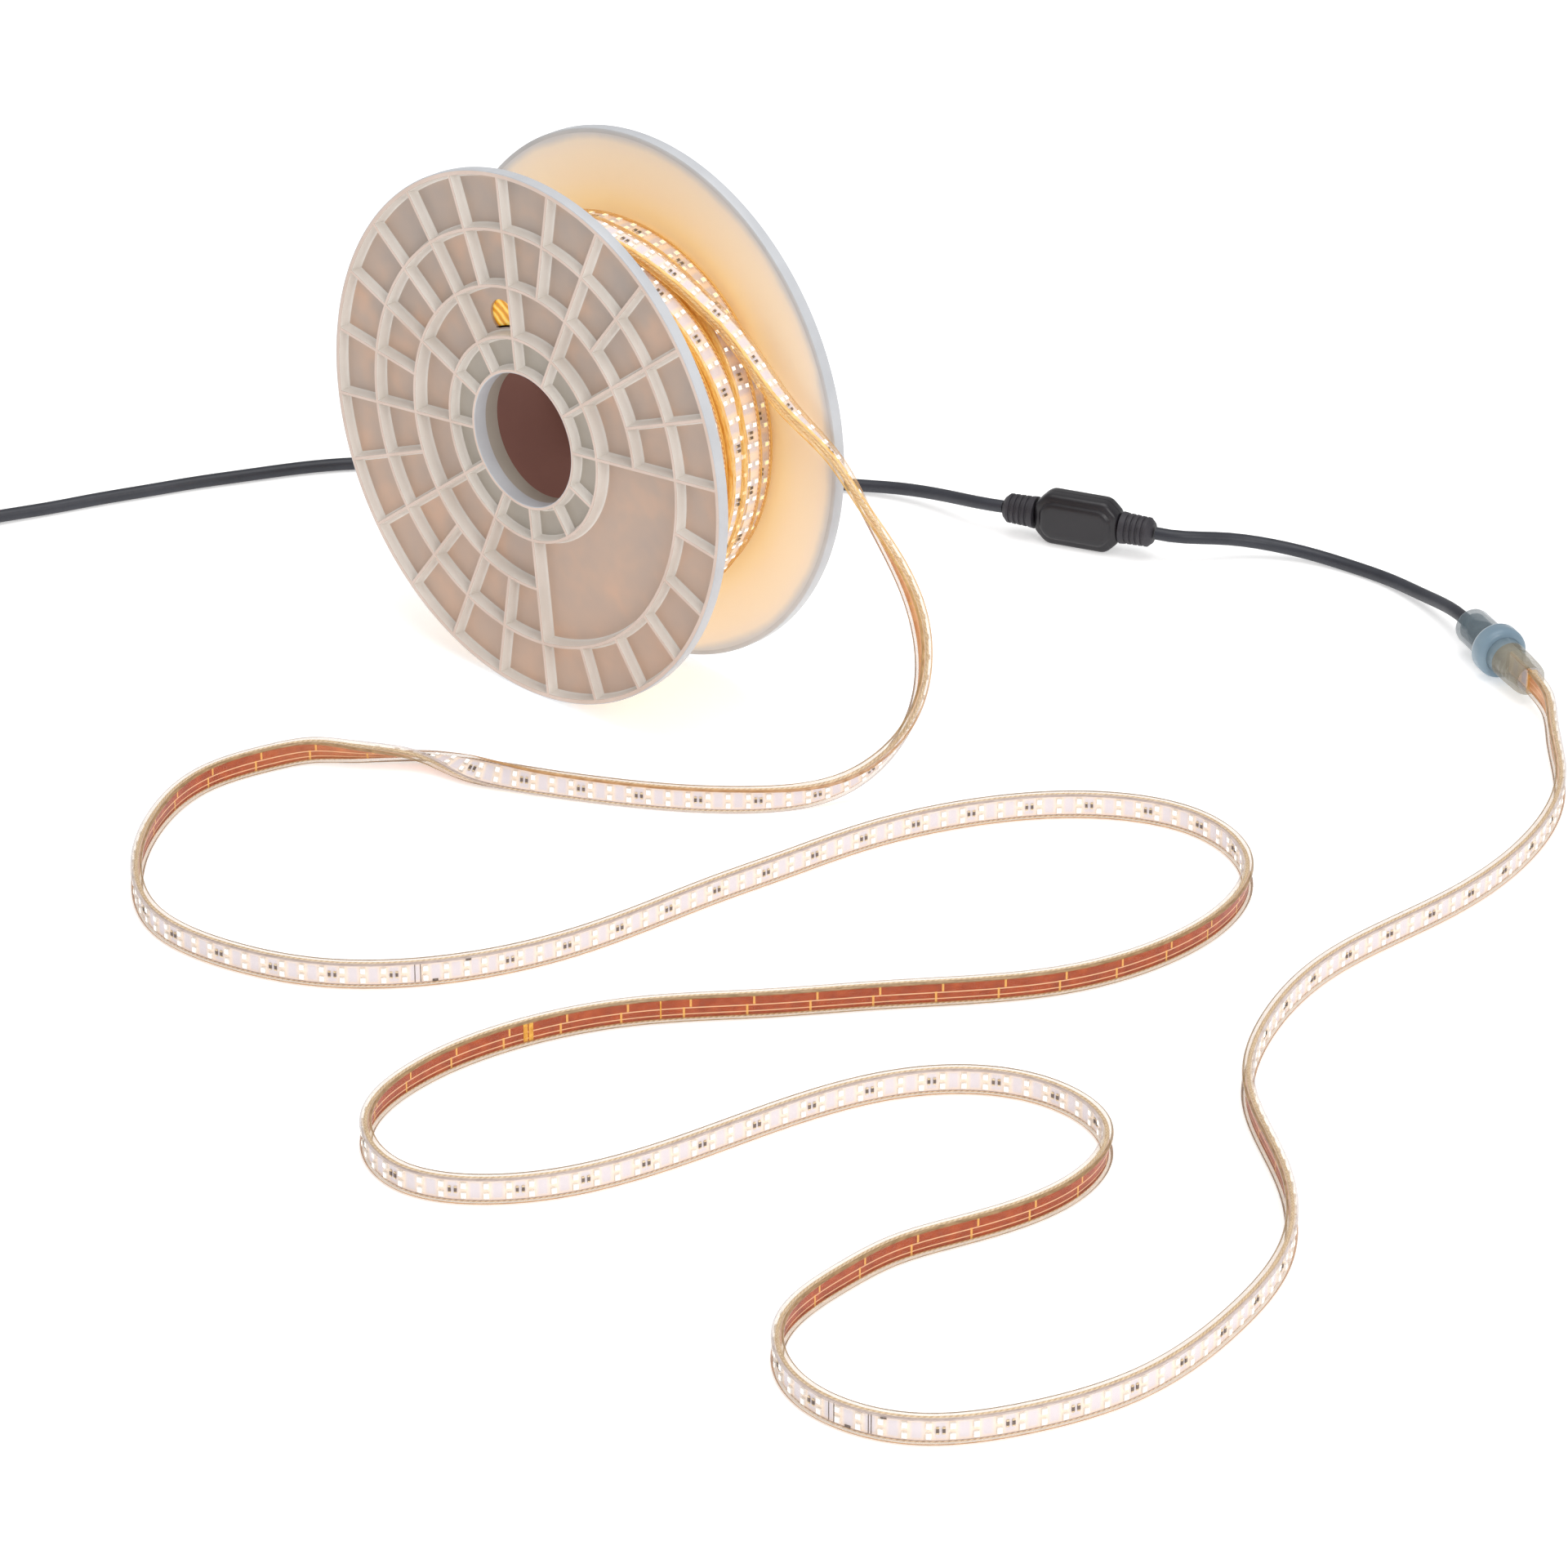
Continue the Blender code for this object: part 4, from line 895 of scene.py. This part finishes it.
def plug_shell(name):
    """Flat two-pin plug: a soft-edged body narrowing to a ribbed strain relief."""
    stations = [(0.0, 4.3, 4.3), (2.0, 4.7, 4.7), (4.0, 4.4, 4.4), (5.6, 4.4, 4.4), (7.0, 4.9, 4.9), (8.6, 4.6, 4.6), (10.4, 4.6, 4.6), (12.0, 5.1, 5.0),
                (14.0, 4.8, 4.8), (16.0, 4.9, 4.8), (20.0, 5.6, 5.2), (24.0, 8.4, 5.6), (28.0, 12.0, 6.0), (34.0, 15.2, 6.4), (41.0, 17.0, 6.7),
                (50.0, 17.5, 6.8), (58.0, 17.4, 6.8), (61.5, 16.8, 6.5), (62.8, 15.6, 5.8), (63.0, 14.4, 5.0)]
    k = 32
    verts, faces = [], []
    for s, a, b in stations:
        flat = min(1.0, max(0.0, (s - 16.0) / 16.0))
        p = 2.0 + 1.6 * flat
        for i in range(k):
            t = 2 * math.pi * i / k
            c, d = math.cos(t), math.sin(t)
            verts.append((s * MM, a * math.copysign(abs(c) ** (2 / p), c) * MM, b * math.copysign(abs(d) ** (2 / p), d) * MM))
    for i in range(len(stations) - 1):
        for a in range(k):
            b = (a + 1) % k
            faces.append((i * k + a, i * k + b, (i + 1) * k + b, (i + 1) * k + a))
    faces.append(tuple(range(k)))
    faces.append(tuple((len(stations) - 1) * k + a for a in range(k)))
    me = bpy.data.meshes.new(name)
    me.from_pydata(verts, [], faces)
    me.materials.append(M_PLUG)
    bm = bmesh.new()
    bm.from_mesh(me)
    bmesh.ops.recalc_face_normals(bm, faces=bm.faces)
    bm.to_mesh(me)
    bm.free()
    me.shade_smooth()
    me.set_sharp_from_angle(angle=math.radians(50))
    ob = bpy.data.objects.new(name, me)
    ob.matrix_world = along(PLUG_AT, PLUG_TURN)
    return ob


plug = link(plug_shell("plug_shell"), ("plug_body",))

# ------------------------------------------------------------------ centre line of the strip, in metres
m3 = [tuple(c * MM) for c in centre]

# ------------------------------------------------------------------ reel
RINGS = (60.6, 90.6, 123.7)
RIM_IN, RIB_START = 155.2, 6.3
PANEL_FROM, PANEL_TO = 276.3, 366.3


def cell_loop(r0, r1, a0, a1, inset, n_arc, n_rad):
    """Outline of a pocket, its walls moved in by inset, with the radial sides subdivided."""
    half = 0.8 + inset
    r0 += inset
    r1 -= inset
    loop = []

    def ang(r, lo):
        d = math.degrees(math.asin(min(0.999, half / r)))
        return (a0 + d) if lo else (a1 - d)
    for k in range(n_arc + 1):
        a = ang(r1, True) + (ang(r1, False) - ang(r1, True)) * k / n_arc
        loop.append((r1, a))
    for k in range(1, n_rad):
        r = r1 + (r0 - r1) * k / n_rad
        loop.append((r, ang(r, False)))
    for k in range(n_arc + 1):
        a = ang(r0, False) + (ang(r0, True) - ang(r0, False)) * k / n_arc
        loop.append((r0, a))
    for k in range(1, n_rad):
        r = r0 + (r1 - r0) * k / n_rad
        loop.append((r, ang(r, True)))
    return [(r * math.cos(math.radians(a)), r * math.sin(math.radians(a))) for r, a in loop]


def filled(loops, z):
    """Flat fill between outlines by a 2D curve: vertices and faces in metres."""
    cu = bpy.data.curves.new("fill", 'CURVE')
    cu.dimensions = '2D'
    cu.fill_mode = 'BOTH'
    cu.resolution_u = 1
    for loop in loops:
        sp = cu.splines.new('POLY')
        sp.points.add(len(loop) - 1)
        for p, (x, y) in zip(sp.points, loop):
            p.co = (x * MM, y * MM, 0.0, 1.0)
        sp.use_cyclic_u = True
    ob = bpy.data.objects.new("fill", cu)
    bpy.context.scene.collection.objects.link(ob)
    bpy.context.view_layer.update()
    me = bpy.data.meshes.new_from_object(ob.evaluated_get(bpy.context.evaluated_depsgraph_get()))
    v = [(p.co.x, p.co.y, z * MM) for p in me.vertices]
    f = [tuple(p.vertices) for p in me.polygons]
    bpy.data.objects.remove(ob, do_unlink=True)
    bpy.data.curves.remove(cu)
    bpy.data.meshes.remove(me)
    return v, f


def circle(r, n, cx=0.0, cy=0.0):
    return [(cx + r * math.cos(2 * math.pi * k / n), cy + r * math.sin(2 * math.pi * k / n)) for k in range(n)]


def build_flange(name, mats):
    verts, faces, idx = [], [], []

    def add(v, f, m):
        b = len(verts)
        verts.extend(v)
        faces.extend(tuple(b + i for i in q) for q in f)
        idx.extend([m] * len(f))

    wide, narrow = 30.0, 15.0
    jobs = []
    for k in range(12):
        a = RIB_START + wide * k
        jobs.append((41.6, RINGS[0] - 0.8, a, a + wide, 5.5, 12, 4, 1))
        if not PANEL_FROM - 0.1 <= a < PANEL_TO - 0.1:
            jobs.append((RINGS[0] + 0.8, RINGS[1] - 0.8, a, a + wide, 7.9, 14, 6, 0))
    for k in range(24):
        a = RIB_START + narrow * k
        if not PANEL_FROM - 0.1 <= a < PANEL_TO - 0.1:
            jobs.append((RINGS[1] + 0.8, RINGS[2] - 0.8, a, a + narrow, 6.8, 9, 6, 0))
        jobs.append((RINGS[2] + 0.8, RIM_IN, a, a + narrow, 5.8, 11, 6, 0))
    jobs.append((RINGS[0] + 0.8, RINGS[2] - 0.8, PANEL_FROM, PANEL_TO, 7.3, 60, 12, 0))
    tops = [circle(157.4, 240), circle(40.1, 120)]
    hole = (-23.0, 67.3)
    for r0, r1, a0, a1, d, na, nr, mi in jobs:
        tops.append(cell_loop(r0, r1, a0, a1, 0.0, na, nr))
        steps = [(0.0, 0.0), (0.12, 0.10), (0.22, 0.45), (0.55, d * 0.45), (0.95, d - 1.5), (1.35, d - 0.65),
                 (2.0, d - 0.18), (2.9, d), (4.0, d)]
        loops = [cell_loop(r0, r1, a0, a1, i, na, nr) for i, _ in steps]
        k = len(loops[0])
        v = [(x * MM, y * MM, -dep * MM) for lp, (_, dep) in zip(loops, steps) for x, y in lp]
        f, walls = [], []
        for i in range(len(steps) - 1):
            for a in range(k):
                b = (a + 1) % k
                (walls if 0 < i < 6 else f).append((i * k + a, (i + 1) * k + a, (i + 1) * k + b, i * k + b))
        holed = d == 7.9 and a0 < 108.9 < a1
        if not holed:
            f.append(tuple((len(steps) - 1) * k + a for a in range(k)))
        add(v, f, mi)
        add(v, walls, 5)
        if holed:
            ring = circle(9.5, 48, *hole)
            add(*filled([loops[-1], ring], -d), mi)
            deep = [(x * MM, y * MM, z * MM) for z in (-d, -10.0) for x, y in ring]
            add(deep, [(a, (a + 1) % 48, 48 + (a + 1) % 48, 48 + a) for a in range(48)], mi)
    v, f = filled(tops, 0.0)
    add(v, f, 4)
    # rim, inner face and bore, turned
    prof = [(157.4, 0.0), (157.85, -0.2), (158.0, -0.7), (158.0, -6.2), (157.8, -6.9), (157.2, -7.3), (155.2, -7.35)]
    inner = [(155.2, -7.35), (150.0, -7.45), (140.0, -7.76), (130.0, -8.07), (118.0, -8.44), (100.0, -9.0), (80.0, -9.6), (61.0, -10.2), (56.7, -10.2)]
    back = [(56.7, -10.2), (56.7, -13.6), (56.3, -14.0), (54.6, -14.0), (54.2, -13.6), (54.2, -7.8), (41.6, -7.8), (41.6, -17.5), (41.3, -17.8), (39.9, -17.8),
            (39.6, -17.5), (39.6, -8.5)]
    bore = [(39.6, -8.5), (39.6, -0.6), (39.75, -0.15), (40.1, 0.0)]
    for pr, mi, seg in ((prof, 2, 240), (inner, 3, 240), (back, 1, 120), (bore, 2, 120)):
        k = len(pr)
        v = [(r * math.cos(2 * math.pi * i / seg) * MM, r * math.sin(2 * math.pi * i / seg) * MM, z * MM) for i in range(seg) for r, z in pr]
        f = [(i * k + p, i * k + p + 1, ((i + 1) % seg) * k + p + 1, ((i + 1) % seg) * k + p) for i in range(seg) for p in range(k - 1)]
        add(v, f, mi)
    me = bpy.data.meshes.new(name)
    me.from_pydata(verts, [], faces)
    for m in mats:
        me.materials.append(m)
    me.polygons.foreach_set("material_index", idx)
    bm = bmesh.new()
    bm.from_mesh(me)
    bmesh.ops.remove_doubles(bm, verts=bm.verts, dist=0.000004)
    bmesh.ops.recalc_face_normals(bm, faces=bm.faces)
    bm.to_mesh(me)
    bm.free()
    me.shade_smooth()
    me.set_sharp_from_angle(angle=math.radians(38))
    return me


def radius_of(m):
    x, y, z = m.xyz()
    return m.math('SQRT', m.math('ADD', m.math('MULTIPLY', x, x), m.math('MULTIPLY', y, y)))


def reel_ribbed(name, tones, glow=0.0):
    """Pocket floors: pinkish beige, a shade warmer low down where the light of the winding comes through."""
    m = Mat(name, rough=0.4, IOR=1.46)
    x, y, z = m.xyz()
    n = m.noise(22.0, 4.0)
    tone = m.ramp(m.noise(34.0, 2.0), [(0.30, tones[0]), (0.52, tones[1]), (0.76, tones[2])])
    warm = m.math('MULTIPLY_ADD', y, -2.4, m.math('MULTIPLY_ADD', x, 0.3, m.math('MULTIPLY', m.math('SUBTRACT', n, 0.5), 0.8)))
    wf = m.math('ADD', warm, 0.30, clamp=True)
    m.base(m.mix(m.math('MULTIPLY', wf, 0.7), tone, tones[2]))
    if glow:
        m.emit(m.mix(wf, lin(214, 170, 140), lin(255, 190, 140)), m.math('MULTIPLY', wf, glow))
    m.rough(m.noise(500.0, 3.0), 0.34, 0.48)
    m.bump(m.noise(160.0, 4.0), 0.00008, 0.35)
    return m.mat


def reel_plain(name, col_a, col_b, rough=(0.32, 0.44)):
    m = Mat(name, rough=0.4, IOR=1.46)
    m.base(m.ramp(m.noise(26.0, 4.0), [(0.3, col_a), (0.7, col_b)]))
    m.rough(m.noise(500.0, 3.0), *rough)
    m.bump(m.noise(160.0, 4.0), 0.00006, 0.3)
    return m.mat


def reel_inner(name, strength):
    """Smooth inner face, lit by the winding: golden beside it, cream further out, grey at the rim."""
    m = Mat(name, rough=0.34, IOR=1.46)
    r = radius_of(m)
    n = m.noise(16.0, 4.0)
    rr = m.math('ADD', r, m.math('MULTIPLY', m.math('SUBTRACT', n, 0.5), 0.008))
    q = m.math('DIVIDE', rr, 0.16)
    m.base(m.ramp(q, [(0.40, lin(254, 230, 184)), (0.72, lin(254, 233, 190)), (0.80, lin(252, 234, 206)), (0.90, lin(250, 234, 212)),
                      (0.940, lin(246, 234, 218)), (0.965, lin(216, 217, 220)), (0.990, lin(204, 207, 212))]))
    m.emit(m.ramp(q, [(0.40, lin(255, 232, 176)), (0.72, lin(255, 228, 164)), (0.80, lin(220, 200, 150)), (0.90, lin(200, 184, 150)), (0.945, lin(150, 142, 124)), (0.968, (0, 0, 0))]), strength)
    m.rough(m.noise(500.0, 3.0), 0.3, 0.42)
    m.bump(m.noise(140.0, 4.0), 0.00006, 0.3)
    return m.mat


R_RIB = reel_ribbed("reel_pocket_floors", (lin(174, 160, 151), lin(185, 165, 151), lin(207, 173, 150)), 0.05)
# painted light: the pocket walls get a lighter cream-grey copy of the flange plastic, as lit from the side
R_WALL_LIT = reel_plain("reel_pocket_walls_painted_light", lin(220, 213, 205), lin(232, 226, 219))
R_HUB = reel_plain("reel_hub_pockets", lin(169, 160, 148), lin(180, 171, 159))
R_RIM = reel_plain("reel_rim", lin(190, 192, 196), lin(204, 206, 210))
R_IN = reel_inner("reel_inner_face", 0.12)
R_TOP = reel_plain("reel_rib_tops", lin(212, 190, 176), lin(226, 206, 194))

flange = build_flange("flange_fine", (R_RIB, R_HUB, R_RIM, R_IN, R_TOP, R_WALL_LIT))
front = bpy.data.objects.new("front_flange_ribbed", flange)
front.matrix_world = Matrix.Translation((0, -REEL_HALF * MM, REEL_R * MM)) @ Matrix.Rotation(math.radians(90), 4, 'X')
link(front, ("front_flange",))
rear = bpy.data.objects.new("rear_flange_ribbed", flange.copy())
rear.matrix_world = Matrix.Translation((0, REEL_HALF * MM, REEL_R * MM)) @ Matrix.Rotation(math.pi, 4, 'Z') @ Matrix.Rotation(math.radians(90), 4, 'X')
link(rear, ("rear_flange",))

# barrel: the inside painted dark brown as shade, with a painted warm glow of the light through its wall
M_BARREL_IN_SHADED = plastic("barrel_inside_painted_shade_glow", lin(132, 92, 82), lin(144, 102, 90), 18.0, (0.6, 0.75))
M_BARREL_IN_SHADED.node_tree.nodes["Principled BSDF"].inputs["Emission Color"].default_value = (*lin(104, 72, 64), 1.0)
M_BARREL_IN_SHADED.node_tree.nodes["Principled BSDF"].inputs["Emission Strength"].default_value = 0.5
M_BARREL_OUT = plastic("barrel_outside", lin(196, 176, 150), lin(210, 190, 166), 26.0)
AXLE = Matrix.Translation((0, 0, REEL_R * MM)) @ Matrix.Rotation(math.radians(90), 4, 'X')
link(turned("barrel_tube", [(60.0, 39.1), (60.0, -39.1), (57.0, -39.1), (57.0, 39.1)], (M_BARREL_OUT, M_BARREL_IN_SHADED), AXLE, 120,
            mat_of=lambda p: 1 if p == 2 else 0), ("reel_barrel",))

# ------------------------------------------------------------------ winding
def core_mat(name):
    """What shows between the outer turns: amber jackets on edge, with bright spots."""
    m = Mat(name, rough=0.25, IOR=1.46)
    x, y, z = m.xyz()
    w = m.math('SINE', m.math('MULTIPLY', z, 1900.0))
    n = m.noise(90.0, 4.0)
    f = m.math('MULTIPLY_ADD', w, 0.28, m.math('MULTIPLY_ADD', n, 0.6, 0.2))
    col = m.ramp(f, [(0.15, lin(224, 150, 48)), (0.5, lin(252, 194, 88)), (0.8, lin(255, 228, 146))])
    m.base(col)
    m.emit(col, 0.13)
    m.bump(w, 0.0004, 0.6)
    return m.mat


M_CORE = core_mat("winding_core")
WOUND = ((-39.0, 106.0), (-30.0, 110.0), (-15.0, 112.0), (0.0, 112.5), (15.0, 111.0), (25.0, 108.0), (33.0, 104.0), (39.0, 100.0))
link(turned("winding_core_body", [(r, -y) for y, r in WOUND] + [(60.3, -39.0), (60.3, 39.0)], M_CORE, AXLE, 144), ("wound_strip",))


def turn_loop(tag, keys, mark):
    """One turn of the winding: keys of (angle, y, radius) around the reel."""
    keys = sorted(keys)
    ang = np.array([k[0] for k in keys], float)
    ys = np.array([k[1] for k in keys], float)
    rs = np.array([k[2] for k in keys], float)
    a = np.linspace(-180.0, 180.0, 181)[:-1]

    def per(v):
        aa = np.concatenate((ang - 360, ang, ang + 360))
        vv = np.concatenate((v, v, v))
        x = np.interp(a, aa, vv)
        x = np.concatenate((x[-8:], x, x[:8]))
        return np.convolve(x, np.ones(9) / 9, mode='same')[8:-8]
    y, r = per(ys), per(rs)
    t = np.radians(a)
    c = np.stack((r * np.cos(t), y, REEL_R + r * np.sin(t)), -1)[::-1]
    n = np.stack((np.cos(t), np.zeros_like(t), np.sin(t)), -1)[::-1]
    band = Band(c, n)
    seg_ = np.linalg.norm(np.roll(c, -1, axis=0) - c, axis=1)
    band.s = np.concatenate(([0.0], np.cumsum(seg_[:-1])))
    band.t = np.roll(c, -1, axis=0) - np.roll(c, 1, axis=0)
    band.t /= np.linalg.norm(band.t, axis=1)[:, None]
    band.w = np.cross(band.n, band.t)
    ob = loft("turn_jacket_" + tag, band, round_box_section(STRIP_W - 0.4, STRIP_T, 1.9, 2), True, mats=(J_SIDE_W, J_FACE_W),
              mat_of=lambda a: 1 if a == 2 else 0)
    link(ob)
    under = tag[0] == "u"
    strip_pieces(tag, band, mark, M_BOARD_WOUND if under else M_BOARD, M_WIRE_WOUND,
                 M_LED_AMBER if under else M_LED_WOUND, True, end_gap=2.0)


turn_loop("t2", [(-170, 0, 114.6), (-90, 4, 114.8), (-40, 8.4, 115), (-13, 9, 115), (2, 8.5, 115), (19, 6, 115), (36, 2, 115), (53, -3.5, 115),
                 (70, -8, 114.8), (100, -14, 114.2), (150, -10, 114.2)], 12.0)
turn_loop("t3", [(-170, 14, 113.5), (-90, 14, 114.5), (-30, 17, 115.5), (6, 16.9, 116.2), (23, 18.7, 115.8), (45, 19.5, 113.6), (80, 9, 113.6), (120, 8, 113.4)], 4.0)
turn_loop("u4", [(-170, 28, 110.5), (-60, 27, 111), (10, 31, 110.6), (45, 30.5, 110.4), (90, 25, 110.2), (140, 25, 110.4)], 20.0)
turn_loop("u5", [(-170, 33.5, 104.5), (0, 33, 104.8), (60, 33.5, 104.4), (120, 33, 104.6)], 9.0)
turn_loop("u1", [(-170, -16, 112.8), (-60, -9, 112.9), (0, -7, 112.8), (45, -14, 112.8), (90, -26, 112), (140, -25, 112)], 27.0)
turn_loop("u0", [(-170, -31, 108), (-60, -26, 108.8), (0, -24, 109), (60, -30, 108), (140, -33, 107)], 15.0)

# what shows in the round hole of the front web
def peep_mat():
    m = Mat("winding_side_in_hole", rough=0.3)
    x, y, z = m.xyz()
    n = m.noise(60.0, 3.0)
    w = m.math('SINE', m.math('MULTIPLY_ADD', y, 1100.0, m.math('MULTIPLY_ADD', x, 700.0, m.math('MULTIPLY', n, 7.0))))
    col = m.ramp(m.math('MULTIPLY_ADD', w, 0.5, 0.5), [(0.05, lin(214, 140, 20)), (0.45, lin(250, 184, 40)), (0.9, lin(255, 216, 110))])
    m.base(col)
    m.emit(col, 0.25)
    m.bump(w, 0.0003, 0.6)
    return m.mat


peep = turned("winding_side_in_hole", [(0.0, 0.15), (9.45, 0.15), (9.45, 0.0), (0.0, 0.0)], peep_mat(), None, 40, closed=False)
peep.matrix_world = Matrix.Translation((-23.0 * MM, (-REEL_HALF + 9.7) * MM, (REEL_R + 67.3) * MM)) @ Matrix.Rotation(math.radians(90), 4, 'X')
link(peep)

# ------------------------------------------------------------------ floor
me = bpy.data.meshes.new("floor")
me.from_pydata([(-8, -8, -0.0002), (8, -8, -0.0002), (8, 8, -0.0002), (-8, 8, -0.0002)], [], [(0, 1, 2, 3)])
floor = bpy.data.objects.new("floor", me)
fm = Mat("studio_floor", rough=0.7)
fm.base(fm.ramp(fm.noise(0.6, 2.0), [(0.2, (0.86, 0.86, 0.86)), (0.8, (0.88, 0.88, 0.88))]))
fm.emit((1.0, 1.0, 1.0), 0.44)
me.materials.append(fm.mat)
bpy.context.scene.collection.objects.link(floor)
